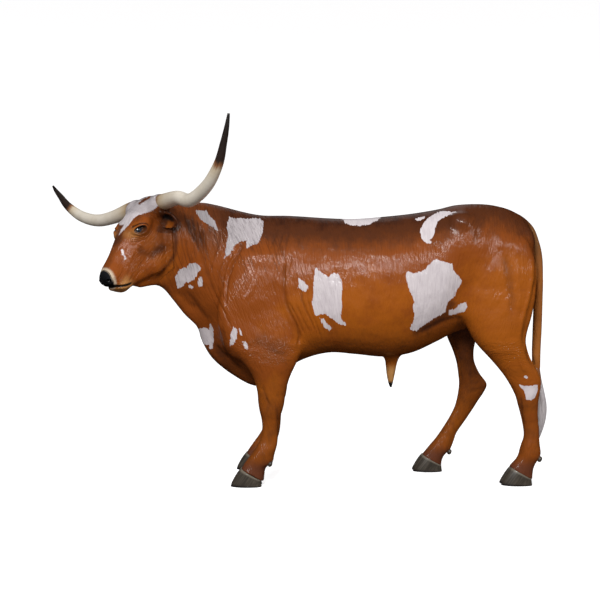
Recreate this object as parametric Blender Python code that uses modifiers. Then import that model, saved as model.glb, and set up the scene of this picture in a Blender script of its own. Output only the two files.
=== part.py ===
"""A Texas longhorn bull as a life-size painted resin statue: brown hide, wide swept horns, cloven hoofs.

Body frame, in metres: X runs from the head to the tail, Y from the bull's left side to its right, Z up.
The bull looks towards -X with its head turned to its left (-Y). At the end everything is moved
so that the origin lies on the floor under the middle of the bounding box.
"""

import bmesh
import bpy
import numpy as np
from mathutils import Matrix, Vector

# Driving dimensions, in metres and degrees.
GAP = 0.0003                            # left between pieces that touch
COARSE_VOXEL, FINE_VOXEL = 0.012, 0.006  # cells of the meshes that fuse the lofts: body, then head and body
FIRST_TRIANGLES, BODY_TRIANGLES = 18000, 7000   # left of the fused body, before and after the face is kept
RING_SIDES = 36                         # points round a lofted ring

HEAD_AT = Vector((-0.798, -0.166, 1.457))   # middle of the skull between the horn roots
HEAD_YAW, HEAD_ROLL, HEAD_PITCH = 42.0, 6.0, 52.0

FORE_Y, HIND_LEFT_Y, HIND_RIGHT_Y = 0.200, 0.170, 0.150    # leg centres either side of the midline
RIGHT_FORE_BEHIND = 0.006               # the right foreleg stands this much behind the left one

EYE_AT = (0.177, 0.083, 0.017)          # in the head frame: towards the nose, to the left, out of the face
EYE_RADIUS = 0.027
EYE_OPENING = (0.0240, 0.030, 0.0170)     # half sizes of the gap between the lids
EYE_SLANT = 30.0
NOSTRIL_AT, NOSTRIL = (0.464, 0.038, -0.016), (0.020, 0.015, 0.012)
MOUTH_LINE = ((0.500, -0.042), (0.458, -0.077), (0.434, -0.099), (0.408, -0.116))
MOUTH_CORE, MOUTH_REACH, MOUTH_HEIGHT, MOUTH_OVERLAP = 0.052, 0.100, 0.004, 0.002
HEAD_STARTS, NECK_ENDS_X = -0.06, -0.60     # where the finer mesh of the face begins
HEAD_RELAX = 16                         # rounds that soften the forms of the head
HORN_ROOT_RADIUS = 0.0415
EAR_ROOT, EAR_TIP, EAR_FACES = (0.055, 0.080, -0.022), (0.052, 0.195, -0.100), (0.80, 0.25, 0.45)
EAR_WALL, EAR_WRAP = 0.008, 1.75        # thickness, and how far round the cup closes, in radians
ROOT_GAP = 3 * GAP                      # ears and horns meet the head at a slant, so they need more room
# Ear: share of its length, half width, depth of the cup, how hollow.
EAR = (
    (0.00, 0.020, 0.022, 0.0),
    (0.15, 0.026, 0.026, 0.2),
    (0.30, 0.037, 0.031, 0.9),
    (0.50, 0.045, 0.030, 1.0),
    (0.70, 0.042, 0.024, 1.0),
    (0.88, 0.028, 0.016, 0.9),
    (1.00, 0.008, 0.007, 0.4),
)
TAIL_RADIUS = 0.025
HORN_RINGS, HORN_SIDES = 18, 12
EAR_RINGS, TAIL_RINGS, SWITCH_RINGS, SHEATH_RINGS = 11, 20, 10, 9

# Where the thin cuts run. Head: head frame, nape to throat. Neck: x and z.
# Legs: distance from the midline and z.
HEAD_CUT = ((-0.120, 0.200), (-0.088, -0.060), (0.150, -0.262), (0.290, -0.300), (0.420, -0.330))
NECK_CUT = ((-0.310, 1.620), (-0.430, 1.000), (-0.560, 0.420))
FORE_CUT, FORE_CUT_X, FORE_CUT_TILT = ((0.100, 0.548), (0.340, 0.715)), -0.200, 0.10
HIND_CUT, HIND_CUT_X, HIND_CUT_TILT = ((0.030, 0.770), (0.340, 0.860)), 1.020, 0.05
HEAD_BLADE, NECK_BLADE, FORE_BLADE, HIND_BLADE = 0.26, 0.40, 0.26, 0.36   # half widths of the cuts

# A point in or on each part of the divided body.
SEEDS = {
    "torso": (0.40, 0.0, 1.41),
    "neck": (-0.60, -0.05, 1.48),
    "head": (-0.98, -0.40, 1.10),
    "foreleg_left": (-0.16, -FORE_Y, 0.30),
    "foreleg_right": (-0.16, FORE_Y, 0.30),
    "hind_leg_left": (1.20, -HIND_LEFT_Y, 0.35),
    "hind_leg_right": (0.92, HIND_RIGHT_Y, 0.35),
}

# Trunk: x, top, floor, half width, height of the widest line, roundness above it, roundness below it.
TRUNK = (
    (-0.46, 1.300, 0.700, 0.120, 1.000, 2.0, 2.0),
    (-0.38, 1.400, 0.585, 0.185, 1.000, 2.0, 2.0),
    (-0.28, 1.427, 0.540, 0.222, 0.980, 1.9, 2.0),
    (-0.15, 1.425, 0.545, 0.240, 0.960, 1.9, 2.1),
    (0.00, 1.418, 0.637, 0.256, 0.980, 2.0, 2.2),
    (0.15, 1.408, 0.682, 0.282, 0.980, 2.1, 2.3),
    (0.30, 1.404, 0.674, 0.300, 0.975, 2.2, 2.3),
    (0.45, 1.416, 0.660, 0.304, 0.990, 2.2, 2.2),
    (0.60, 1.432, 0.680, 0.292, 1.030, 2.2, 2.1),
    (0.74, 1.455, 0.742, 0.272, 1.120, 2.3, 2.0),
    (0.84, 1.478, 0.790, 0.258, 1.240, 2.5, 1.9),
    (0.97, 1.484, 0.830, 0.240, 1.230, 2.2, 1.9),
    (1.06, 1.473, 0.870, 0.222, 1.200, 2.1, 1.9),
    (1.14, 1.448, 0.920, 0.196, 1.180, 2.1, 1.9),
    (1.21, 1.400, 0.980, 0.150, 1.170, 2.0, 1.9),
    (1.25, 1.330, 1.060, 0.090, 1.180, 2.0, 2.0),
)

# Neck: x, y, turn to the left in degrees, top, underside, half width, height of the widest line.
NECK = (
    (-0.08, 0.000, 0.0, 1.400, 0.760, 0.200, 1.080),
    (-0.28, 0.000, 4.0, 1.440, 0.640, 0.212, 1.080),
    (-0.41, -0.010, 12.0, 1.472, 0.730, 0.192, 1.130),
    (-0.52, -0.036, 22.0, 1.490, 0.850, 0.170, 1.190),
    (-0.62, -0.080, 32.0, 1.488, 0.960, 0.148, 1.250),
    (-0.71, -0.135, 40.0, 1.484, 1.060, 0.126, 1.300),
    (-0.76, -0.165, 42.0, 1.470, 1.120, 0.105, 1.310),
)

# Dewlap and brisket, a soft keel under the neck: x, y, z of its edge, depth, half thickness.
DEWLAP = (
    (-0.90, -0.320, 1.070, 0.020, 0.018),
    (-0.83, -0.245, 1.042, 0.045, 0.028),
    (-0.75, -0.165, 1.038, 0.060, 0.034),
    (-0.685, -0.120, 0.985, 0.065, 0.038),
    (-0.62, -0.080, 0.896, 0.070, 0.042),
    (-0.55, -0.050, 0.815, 0.075, 0.050),
    (-0.51, -0.020, 0.704, 0.080, 0.060),
    (-0.45, 0.000, 0.617, 0.085, 0.072),
    (-0.35, 0.000, 0.540, 0.085, 0.082),
    (-0.24, 0.000, 0.489, 0.080, 0.084),
    (-0.14, 0.000, 0.530, 0.070, 0.080),
    (-0.04, 0.000, 0.610, 0.060, 0.075),
)

# Skull, in the head frame: station, face line, jaw line, half width, widest line, roundness above, below.
SKULL = (
    (-0.110, -0.025, -0.090, 0.055, -0.050, 2.0, 2.0),
    (-0.060, 0.024, -0.150, 0.096, -0.040, 2.3, 2.0),
    (0.000, 0.054, -0.195, 0.110, -0.030, 2.5, 2.0),
    (0.060, 0.064, -0.222, 0.110, -0.025, 2.6, 2.4),
    (0.120, 0.064, -0.242, 0.108, -0.015, 2.6, 2.9),
    (0.170, 0.061, -0.250, 0.106, -0.010, 2.5, 3.3),
    (0.220, 0.055, -0.244, 0.095, -0.040, 2.3, 3.6),
    (0.270, 0.051, -0.224, 0.081, -0.070, 2.2, 3.6),
    (0.330, 0.041, -0.190, 0.070, -0.075, 2.2, 3.4),
    (0.375, 0.036, -0.162, 0.067, -0.070, 2.3, 3.0),
    (0.410, 0.032, -0.145, 0.071, -0.065, 2.5, 2.2),
    (0.440, 0.025, -0.134, 0.071, -0.062, 2.6, 2.3),
    (0.462, 0.011, -0.120, 0.063, -0.060, 2.6, 2.3),
    (0.474, -0.014, -0.100, 0.044, -0.058, 2.3, 2.2),
)

# Foreleg: height, front edge, rear edge, half width. Both forelegs stand square.
FORELEG = (
    (1.240, -0.300, -0.120, 0.020),
    (1.120, -0.360, -0.090, 0.040),
    (0.980, -0.425, -0.055, 0.052),
    (0.850, -0.440, -0.020, 0.066),
    (0.740, -0.385, -0.002, 0.078),
    (0.650, -0.300, -0.012, 0.082),
    (0.580, -0.250, -0.044, 0.076),
    (0.505, -0.226, -0.068, 0.066),
    (0.440, -0.220, -0.080, 0.058),
    (0.395, -0.213, -0.092, 0.056),
    (0.360, -0.204, -0.104, 0.048),
    (0.310, -0.199, -0.111, 0.039),
    (0.250, -0.208, -0.115, 0.037),
    (0.212, -0.226, -0.120, 0.045),
    (0.180, -0.246, -0.129, 0.051),
    (0.155, -0.265, -0.136, 0.052),
    (0.130, -0.283, -0.139, 0.051),
    (0.112, -0.296, -0.158, 0.050),
    (0.096, -0.305, -0.180, 0.051),
    (0.060, -0.328, -0.186, 0.058),
    (0.020, -0.356, -0.190, 0.062),
)

# Left hind leg, drawn back: height, front edge, rear edge, half width.
HIND_LEFT = (
    (1.300, 0.900, 1.190, 0.060),
    (1.180, 0.860, 1.232, 0.070),
    (1.030, 0.842, 1.238, 0.085),
    (0.900, 0.850, 1.217, 0.094),
    (0.800, 0.885, 1.191, 0.094),
    (0.745, 0.922, 1.188, 0.089),
    (0.670, 0.996, 1.211, 0.071),
    (0.600, 1.056, 1.250, 0.056),
    (0.543, 1.096, 1.270, 0.050),
    (0.474, 1.133, 1.262, 0.047),
    (0.430, 1.146, 1.256, 0.044),
    (0.357, 1.166, 1.256, 0.037),
    (0.298, 1.178, 1.262, 0.035),
    (0.250, 1.181, 1.264, 0.037),
    (0.205, 1.166, 1.268, 0.044),
    (0.170, 1.158, 1.273, 0.049),
    (0.145, 1.150, 1.268, 0.050),
    (0.125, 1.136, 1.254, 0.049),
    (0.100, 1.112, 1.240, 0.050),
    (0.070, 1.096, 1.232, 0.054),
    (0.040, 1.078, 1.230, 0.057),
    (0.015, 1.060, 1.228, 0.060),
)

# Right hind leg, a step ahead: height, front edge, rear edge, half width.
HIND_RIGHT = (
    (1.300, 0.880, 1.170, 0.060),
    (1.180, 0.830, 1.190, 0.075),
    (1.030, 0.800, 1.170, 0.090),
    (0.900, 0.790, 1.110, 0.098),
    (0.810, 0.800, 1.040, 0.092),
    (0.751, 0.816, 0.990, 0.084),
    (0.690, 0.846, 0.972, 0.069),
    (0.620, 0.872, 0.972, 0.056),
    (0.546, 0.884, 1.005, 0.050),
    (0.489, 0.889, 1.046, 0.049),
    (0.440, 0.884, 1.028, 0.047),
    (0.400, 0.877, 1.001, 0.045),
    (0.350, 0.862, 0.970, 0.040),
    (0.285, 0.828, 0.928, 0.036),
    (0.215, 0.784, 0.880, 0.037),
    (0.170, 0.752, 0.864, 0.044),
    (0.135, 0.722, 0.851, 0.049),
    (0.115, 0.706, 0.842, 0.049),
    (0.098, 0.692, 0.820, 0.050),
    (0.070, 0.672, 0.801, 0.053),
    (0.040, 0.652, 0.794, 0.057),
    (0.015, 0.640, 0.796, 0.060),
)

# Horn, from the head's middle: forwards, outwards, upwards, share of the root radius, and how much higher
# the left one stands than the mean of the two, and the right one lower.
HORN = (
    (-0.002, 0.060, 0.006, 1.02, 0.000),
    (-0.002, 0.150, 0.010, 1.00, 0.000),
    (0.020, 0.307, -0.002, 0.86, 0.010),
    (0.040, 0.443, -0.017, 0.80, -0.005),
    (0.050, 0.594, 0.027, 0.72, -0.004),
    (0.063, 0.710, 0.103, 0.56, 0.002),
    (0.072, 0.773, 0.179, 0.40, 0.015),
    (0.078, 0.812, 0.232, 0.28, 0.028),
    (0.082, 0.838, 0.276, 0.14, 0.040),
)

# Tail: x, z, radius. It leaves the rump, turns down and hangs clear of the legs.
TAIL = (
    (1.100, 1.410, 0.036),
    (1.165, 1.398, 0.035),
    (1.226, 1.350, 0.032),
    (1.259, 1.285, 0.029),
    (1.282, 1.200, 0.027),
    (1.289, 1.080, 0.026),
    (1.289, 0.940, TAIL_RADIUS),
    (1.286, 0.800, TAIL_RADIUS),
    (1.283, 0.690, 0.024),
    (1.282, 0.590, 0.024),
)

# Tail switch, a moulded brush of hair: z, x of its middle, radius.
SWITCH = (
    (0.590, 1.282, 0.024),
    (0.540, 1.284, 0.030),
    (0.470, 1.290, 0.040),
    (0.390, 1.298, 0.047),
    (0.310, 1.298, 0.044),
    (0.240, 1.290, 0.033),
    (0.190, 1.284, 0.018),
    (0.165, 1.282, 0.006),
)
SWITCH_LOCKS = 9                        # ridges of hair round the brush
SWITCH_TWIST = 0.9                      # radians that the ridges turn from root to tip

# Sheath under the belly: z, x of its middle, half length along X, half width.
SHEATH = (
    (0.700, 0.500, 0.075, 0.050),
    (0.650, 0.498, 0.042, 0.036),
    (0.606, 0.495, 0.030, 0.028),
    (0.557, 0.493, 0.022, 0.021),
    (0.513, 0.493, 0.013, 0.013),
    (0.486, 0.494, 0.005, 0.005),
)

# Hoof, seen from its side and measured from its toe: sole length, coronet front, coronet rear, claw width.
FORE_TOE_X = -0.366                     # front end of the left fore hoof
HOOF_LENGTH, CORONET_FRONT, CORONET_REAR = 0.165, (0.058, 0.092), (0.160, 0.034)
CLAW_WIDTH, CLEFT, CLAW_SIDES = 0.058, 0.006, 16
# Over 1 pinches a claw's outline, under 1 squares it: along it, on its outer side, towards the cleft.
CLAW_LONG_POWER, CLAW_OUTER_POWER, CLAW_INNER_POWER = 0.85, 0.80, 0.45
FOOT_BOX = (0.40, 0.18, 0.16)           # room below the coronet that is cleared for the claws

# Dewclaws behind each fetlock: x and z of their middles.
DEWCLAWS = {
    "foreleg_left": (-0.157, 0.118),
    "foreleg_right": (-0.157 + RIGHT_FORE_BEHIND, 0.118),
    "hind_leg_left": (1.262, 0.137),
    "hind_leg_right": (0.835, 0.108),
}
DEWCLAW_ASIDE, DEWCLAW_RADII, DEWCLAW_TILT = 0.024, (0.012, 0.013, 0.016), 0.5


def clear_scene():
    for obj in list(bpy.data.objects):
        bpy.data.objects.remove(obj)


def material(name, colour, roughness, metallic=0.0):
    made = bpy.data.materials.new(name)
    made.use_nodes = True
    shader = made.node_tree.nodes["Principled BSDF"]
    shader.inputs["Base Color"].default_value = (*colour, 1.0)
    shader.inputs["Roughness"].default_value = roughness
    shader.inputs["Metallic"].default_value = metallic
    return made


def smooth_rows(rows, count):
    """Rows keyed by their first value, drawn out to count rows on a smooth curve through them."""
    rows = np.array(rows, float)
    way = np.arange(len(rows), dtype=float)
    slope = np.gradient(rows, way, axis=0)
    at = np.linspace(0, len(rows) - 1, count)
    low = np.minimum(at.astype(int), len(rows) - 2)
    t = (at - low)[:, None]
    start, end = rows[low], rows[low + 1]
    return (
        start * (1 + 2 * t) * (1 - t) ** 2
        + slope[low] * t * (1 - t) ** 2
        + end * t * t * (3 - 2 * t)
        + slope[low + 1] * t * t * (t - 1)
    )


def oval(half_width, above, below, power_above=2.0, power_below=2.0, sides=RING_SIDES):
    """A closed ring of (across, up) pairs round its widest line, fuller than an ellipse over power 2."""
    turn = np.linspace(0, 2 * np.pi, sides, endpoint=False)
    across, up = np.sin(turn), np.cos(turn)
    power = np.where(up > 0, power_above, power_below)
    ring_across = np.sign(across) * np.abs(across) ** (2 / power) * half_width
    ring_up = np.sign(up) * np.abs(up) ** (2 / power) * np.where(up > 0, above, below)
    return np.column_stack([ring_across, ring_up])


def loft(name, rings, skin):
    """A closed mesh through rings that have the same number of points, capped at both ends."""
    shape = bmesh.new()
    loops = [[shape.verts.new(point) for point in ring] for ring in rings]
    for first, second in zip(loops, loops[1:]):
        for i in range(len(first)):
            j = (i + 1) % len(first)
            shape.faces.new((first[i], first[j], second[j], second[i]))
    for ring, loop in ((rings[0], loops[0]), (rings[-1], loops[-1])):
        middle = shape.verts.new(np.mean(ring, axis=0))
        for i in range(len(loop)):
            shape.faces.new((loop[i], loop[(i + 1) % len(loop)], middle))
    bmesh.ops.recalc_face_normals(shape, faces=shape.faces)
    mesh = bpy.data.meshes.new(name)
    shape.to_mesh(mesh)
    shape.free()
    mesh.materials.append(skin)
    obj = bpy.data.objects.new(name, mesh)
    bpy.context.scene.collection.objects.link(obj)
    return obj


def trunk_rings():
    rings = []
    for x, top, floor, half, wide, above, below in smooth_rows(TRUNK, 90):
        ring = oval(half, top - wide, wide - floor, above, below)
        rings.append([(x, across, wide + up) for across, up in ring])
    return rings


def neck_rings():
    rings = []
    for x, y, turn, top, under, half, wide in smooth_rows(NECK, 50):
        side = np.array((np.sin(np.radians(turn)), -np.cos(np.radians(turn))))
        ring = oval(half, top - wide, wide - under)
        rings.append([(x + side[0] * a, y + side[1] * a, wide + up) for a, up in ring])
    return rings


def dewlap_rings():
    rows = smooth_rows(DEWLAP, 60)
    along = np.gradient(rows[:, :3], axis=0)
    rings = []
    for (x, y, z, depth, thick), way in zip(rows, along):
        way = Vector(way).normalized()
        inward = Vector((0, 0, 1)) - way * way.z
        inward = Vector((-way.z, 0, way.x)).normalized() if inward.length < 0.3 else inward.normalized()
        side = way.cross(inward)
        middle = Vector((x, y, z)) + inward * depth
        ring = oval(thick, depth, depth, sides=20)
        rings.append([middle + side * a + inward * up for a, up in ring])
    return rings


def leg_rings(rows, y, behind=0.0):
    rings = []
    for z, front, rear, half in smooth_rows(rows, 90):
        ring = oval((rear - front) / 2, half, half, 2.2, 2.2, sides=28)
        rings.append([((front + rear) / 2 + behind + a, y + up, z) for a, up in ring])
    return rings


def head_axes():
    """The head's axes in the body frame: towards the nose, to its left, out of its face, and forwards and up
    before it is pitched down."""
    turn = Matrix.Rotation(np.radians(HEAD_YAW), 3, "Z")
    ahead = turn @ Vector((-1, 0, 0))
    left = turn @ Vector((0, -1, 0))
    roll = Matrix.Rotation(np.radians(HEAD_ROLL), 3, ahead)
    left, up = roll @ left, roll @ Vector((0, 0, 1))
    pitch = np.radians(HEAD_PITCH)
    nose = ahead * np.cos(pitch) - up * np.sin(pitch)
    face = ahead * np.sin(pitch) + up * np.cos(pitch)
    return nose, left, face, ahead, up


NOSE, LEFT, FACE, AHEAD, HEAD_UP = head_axes()


def on_head(along, aside, out):
    """A point of the body frame from its place in the head frame."""
    return HEAD_AT + NOSE * along + LEFT * aside + FACE * out


def skull_rings():
    rings = []
    for along, face, jaw, half, wide, above, below in smooth_rows(SKULL, 70):
        ring = oval(half, face - wide, wide - jaw, above, below)
        rings.append([on_head(along, across, wide + up) for across, up in ring])
    return rings


def ball(name, centre, radii, skin, turn=None, segments=16, rings=10):
    """An ellipsoid with its radii along the body's axes, or along the columns of turn."""
    shape = bmesh.new()
    bmesh.ops.create_uvsphere(shape, u_segments=segments, v_segments=rings, radius=1.0)
    mesh = bpy.data.meshes.new(name)
    shape.to_mesh(mesh)
    shape.free()
    place = (turn or Matrix.Identity(3)) @ Matrix.Diagonal(radii)
    mesh.transform(Matrix.Translation(centre) @ place.to_4x4())
    mesh.materials.append(skin)
    obj = bpy.data.objects.new(name, mesh)
    bpy.context.scene.collection.objects.link(obj)
    return obj


HEAD_TURN = Matrix((NOSE, LEFT, FACE)).transposed()


def head_forms(skin):
    """Bony and fleshy forms that stand out of the skull's plain rings."""
    forms = []
    for side in (-1, 1):
        for place, radii in (
            ((0.000, 0.106 * side, -0.005), (0.066, 0.064, 0.059)),   # boss that carries the horn
            ((0.142, 0.090 * side, 0.008), (0.070, 0.046, 0.046)),    # brow over the eye
            ((EYE_AT[0], EYE_AT[1] * side, EYE_AT[2]), (0.036, 0.033, 0.031)),    # lids
            ((0.200, 0.060 * side, -0.160), (0.115, 0.038, 0.078)),   # cheek
            ((0.290, 0.050 * side, -0.058), (0.110, 0.022, 0.024)),   # ridge of the cheek bone
            ((0.440, 0.040 * side, -0.024), (0.034, 0.034, 0.036)),   # wing of the nostril
        ):
            forms.append(ball("form", on_head(*place), radii, skin, HEAD_TURN))
    forms.append(ball("form", on_head(-0.010, 0, 0.020), (0.050, 0.090, 0.032), skin, HEAD_TURN))   # poll
    forms.append(ball("form", on_head(0.420, 0, -0.108), (0.048, 0.046, 0.034), skin, HEAD_TURN))   # chin
    return forms


def body_forms(skin):
    """Muscles that cross the joins of the plain lofts."""
    forms = []
    for side, hip_x in ((-1, 1.02), (1, 0.98)):
        for centre, radii in (
            ((-0.250, 0.170 * side, 0.960), (0.160, 0.095, 0.260)),   # shoulder blade
            ((-0.300, 0.165 * side, 0.780), (0.120, 0.080, 0.130)),   # point of the shoulder
            ((-0.120, 0.190 * side, 0.720), (0.130, 0.075, 0.150)),   # upper arm
            ((hip_x, 0.140 * side, 1.080), (0.200, 0.115, 0.260)),    # thigh
            ((0.840, 0.190 * side, 1.380), (0.075, 0.065, 0.060)),    # hook bone
            ((1.180, 0.090 * side, 1.280), (0.070, 0.060, 0.090)),    # pin bone
        ):
            forms.append(ball("form", centre, radii, skin))
    return forms


def fuse(name, pieces, voxel):
    """One closed mesh from overlapping closed ones."""
    for piece in pieces:
        piece.select_set(True)
    bpy.context.view_layer.objects.active = pieces[0]
    with bpy.context.temp_override(
        active_object=pieces[0], selected_editable_objects=pieces, selected_objects=pieces, object=pieces[0]
    ):
        bpy.ops.object.join()
    body = pieces[0]
    body.name = name
    remesh = body.modifiers.new("fuse", "REMESH")
    remesh.mode = "VOXEL"
    remesh.voxel_size = voxel
    bake(body)
    return body


def bake(obj):
    """Replaces an object's mesh with what its modifiers make of it."""
    graph = bpy.context.evaluated_depsgraph_get()
    made = bpy.data.meshes.new_from_object(obj.evaluated_get(graph))
    obj.modifiers.clear()
    obj.data = made


def points_of(obj):
    points = np.empty(len(obj.data.vertices) * 3)
    obj.data.vertices.foreach_get("co", points)
    return points.reshape(-1, 3)


def normals_of(obj):
    normals = np.empty(len(obj.data.vertices) * 3)
    obj.data.vertex_normals.foreach_get("vector", normals)
    return normals.reshape(-1, 3)


def put_points(obj, points):
    obj.data.vertices.foreach_set("co", points.astype(np.float32).ravel())
    obj.data.update()


def relax(obj, weight, rounds):
    """Moves each point towards the mean of its neighbours, by its weight, rounds times."""
    points = points_of(obj)
    edges = np.empty(len(obj.data.edges) * 2, np.int64)
    obj.data.edges.foreach_get("vertices", edges)
    first, second = edges.reshape(-1, 2).T
    count = np.bincount(edges, minlength=len(points))
    for _ in range(rounds):
        total = np.column_stack(
            [
                np.bincount(first, points[second, axis], len(points))
                + np.bincount(second, points[first, axis], len(points))
                for axis in range(3)
            ]
        )
        points += (total / count[:, None] - points) * weight[:, None]
    put_points(obj, points)


def near_spots(points, spots):
    """From 0 away from every spot to 1 in its middle. A spot is x, y, z, radius."""
    weight = np.zeros(len(points))
    for *centre, radius in spots:
        share = np.linalg.norm(points - centre, axis=1) / radius
        weight = np.maximum(weight, np.clip(1.5 - 1.5 * share, 0, 1))
    return weight


# Behind the head, where the skull is blended into the neck: a place in the head frame, and a radius.
NAPE = (
    ((-0.090, 0.00, 0.000), 0.11),
    ((0.020, 0.09, -0.170), 0.12),
    ((0.020, -0.09, -0.170), 0.12),
    ((0.200, 0.00, -0.290), 0.12),
)

# Joins between lofts that are blended most: x, y, z, radius.
JOINS = (
    (-0.30, 0.00, 1.40, 0.22),
    (-0.05, 0.24, 0.62, 0.20),
    (-0.05, -0.24, 0.62, 0.20),
    (-0.30, 0.00, 0.56, 0.20),
    (-0.40, 0.16, 0.80, 0.22),
    (-0.40, -0.16, 0.80, 0.22),
    (-0.20, 0.20, 1.15, 0.26),
    (-0.20, -0.20, 1.15, 0.26),
    (0.84, 0.18, 0.86, 0.22),
    (0.86, -0.18, 0.86, 0.22),
    (0.98, 0.00, 0.84, 0.24),
    (1.00, 0.20, 1.30, 0.30),
    (1.00, -0.20, 1.30, 0.30),
    (1.22, 0.00, 1.10, 0.20),
    (-0.66, -0.08, 1.20, 0.20),
    (-0.72, -0.16, 1.10, 0.14),
)


def curve_rings(centres, radii, reference, sides):
    """Round rings square to a path; reference is a direction that the path never runs along."""
    along = np.gradient(np.array(centres), axis=0)
    rings = []
    for centre, way, radius in zip(centres, along, radii):
        way = Vector(way).normalized()
        first = way.cross(reference).normalized()
        second = way.cross(first)
        turns = np.linspace(0, 2 * np.pi, sides, endpoint=False)
        rings.append([Vector(centre) + (first * np.cos(t) + second * np.sin(t)) * radius for t in turns])
    return rings


def cut_away(target, cutters, solver="EXACT"):
    for cutter in cutters:
        cut = target.modifiers.new("cut", "BOOLEAN")
        cut.operation = "DIFFERENCE"
        cut.object = cutter
        cut.solver = solver
        bake(target)
        bpy.data.objects.remove(cutter)


def swollen(obj, distance):
    """A copy of a closed mesh with every point moved out along its normal."""
    copy = obj.copy()
    copy.data = obj.data.copy()
    bpy.context.scene.collection.objects.link(copy)
    put_points(copy, points_of(copy) + normals_of(copy) * distance)
    return copy


def islands(obj):
    """The numbers of the points of each connected surface, largest surface first."""
    count = len(obj.data.vertices)
    edges = np.empty(len(obj.data.edges) * 2, np.int64)
    obj.data.edges.foreach_get("vertices", edges)
    first, second = edges.reshape(-1, 2).T
    label = np.arange(count)
    while True:
        lowest = np.minimum(label[first], label[second])
        before = label.copy()
        np.minimum.at(label, first, lowest)
        np.minimum.at(label, second, lowest)
        label = label[label]
        if (label == before).all():
            break
    names, sizes = np.unique(label, return_counts=True)
    return [np.flatnonzero(label == names[i]) for i in np.argsort(-sizes)]


def keep_points(obj, kept, name):
    """A new object from some connected points of an object's mesh."""
    shape = bmesh.new()
    shape.from_mesh(obj.data)
    shape.verts.ensure_lookup_table()
    kept = set(kept.tolist())
    bmesh.ops.delete(shape, geom=[v for v in shape.verts if v.index not in kept], context="VERTS")
    mesh = bpy.data.meshes.new(name)
    shape.to_mesh(mesh)
    shape.free()
    for skin in obj.data.materials:
        mesh.materials.append(skin)
    part = bpy.data.objects.new(name, mesh)
    bpy.context.scene.collection.objects.link(part)
    return part


def keep_largest(obj):
    found = islands(obj)
    if len(found) > 1:
        part = keep_points(obj, found[0], obj.name)
        obj.data = part.data
        bpy.data.objects.remove(part)


def seat(child, parents, gap=GAP):
    """Trims a piece where it enters the pieces that carry it, leaving the gap between them."""
    cut_away(child, [swollen(parent, gap) for parent in parents], "MANIFOLD")
    keep_largest(child)


def thin_out(obj, triangles, kept=None):
    """Collapses edges until about this many triangles are left, none of them among the kept points."""
    obj.data.calc_loop_triangles()
    decimate = obj.modifiers.new("thin", "DECIMATE")
    decimate.ratio = triangles / len(obj.data.loop_triangles)
    if kept is not None:
        free = obj.vertex_groups.new(name="free")
        free.add(np.flatnonzero(~kept).tolist(), 1.0, "REPLACE")
        decimate.vertex_group = "free"
    bake(obj)
    obj.vertex_groups.clear()


def blade(corners, across, half_width):
    """A sheet as thick as the gap, through corners that lie in a plane square to across."""
    corners = [Vector(corner) for corner in corners]
    across = Vector(across).normalized()
    ways = [(second - first).normalized() for first, second in zip(corners, corners[1:])]
    rings = []
    for corner, before, after in zip(corners, ways[:1] + ways, ways + ways[-1:]):
        off = (before + after).normalized().cross(across)
        off *= GAP / 2 / off.dot(before.cross(across))
        side = across * half_width
        rings.append([corner + off + side, corner + off - side, corner - off - side, corner - off + side])
    return loft("blade", rings, None)


def box(centre, size, turn=None):
    shape = bmesh.new()
    bmesh.ops.create_cube(shape, size=1.0)
    mesh = bpy.data.meshes.new("box")
    shape.to_mesh(mesh)
    shape.free()
    place = (turn or Matrix.Identity(3)) @ Matrix.Diagonal(size)
    mesh.transform(Matrix.Translation(centre) @ place.to_4x4())
    obj = bpy.data.objects.new("box", mesh)
    bpy.context.scene.collection.objects.link(obj)
    return obj


def build_body(hide):
    """The whole bull without horns, eyes, ears, tail and hoofs, as one closed mesh."""
    pieces = [
        loft("body", trunk_rings(), hide),
        loft("neck", neck_rings(), hide),
        loft("dewlap", dewlap_rings(), hide),
        loft("leg", leg_rings(FORELEG, -FORE_Y), hide),
        loft("leg", leg_rings(FORELEG, FORE_Y, RIGHT_FORE_BEHIND), hide),
        loft("leg", leg_rings(HIND_LEFT, -HIND_LEFT_Y), hide),
        loft("leg", leg_rings(HIND_RIGHT, HIND_RIGHT_Y), hide),
    ]
    body = fuse("body", pieces + body_forms(hide), COARSE_VOXEL)
    relax(body, 0.5 * near_spots(points_of(body), JOINS), 40)
    head = fuse("head", [loft("skull", skull_rings(), hide)] + head_forms(hide), FINE_VOXEL)
    relax(head, np.full(len(head.data.vertices), 0.5), HEAD_RELAX)
    body = fuse("body", [body, head], FINE_VOXEL)
    points = points_of(body)
    relax(body, 0.5 * near_spots(points, [(*on_head(*place), radius) for place, radius in NAPE]), 60)
    relax(body, np.full(len(points), 0.5), 4)
    thin_out(body, FIRST_TRIANGLES)
    thin_out(body, BODY_TRIANGLES, on_face(body))
    relax(body, 0.4 * on_face(body), 1)
    return body


def on_face(body):
    """Which points belong to the head and keep their fine mesh."""
    points = points_of(body)
    ahead = (points - np.array(HEAD_AT)) @ np.array(NOSE)
    return (ahead > HEAD_STARTS) & (points[:, 0] < NECK_ENDS_X)


def face_cutters():
    """The openings of the eyes and nostrils, and the line of the mouth."""
    cutters = []
    for side in (-1, 1):
        along, aside, out = EYE_AT
        opening = HEAD_TURN @ Matrix.Rotation(np.radians(EYE_SLANT * side), 3, "Y")
        before = on_head(along, (aside + EYE_OPENING[1]) * side, out)
        cutters.append(ball("opening", before, EYE_OPENING, None, opening))
        cutters.append(ball("socket", on_head(along, aside * side, out), (EYE_RADIUS + GAP,) * 3, None))
        along, aside, out = NOSTRIL_AT
        cutters.append(ball("nostril", on_head(along, aside * side, out), NOSTRIL, None, HEAD_TURN, 10, 7))
        corners = [on_head(n, 0, d) for n, d in MOUTH_LINE]
        cutters.append(mouth_cutter(corners, side))
    return cutters


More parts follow.
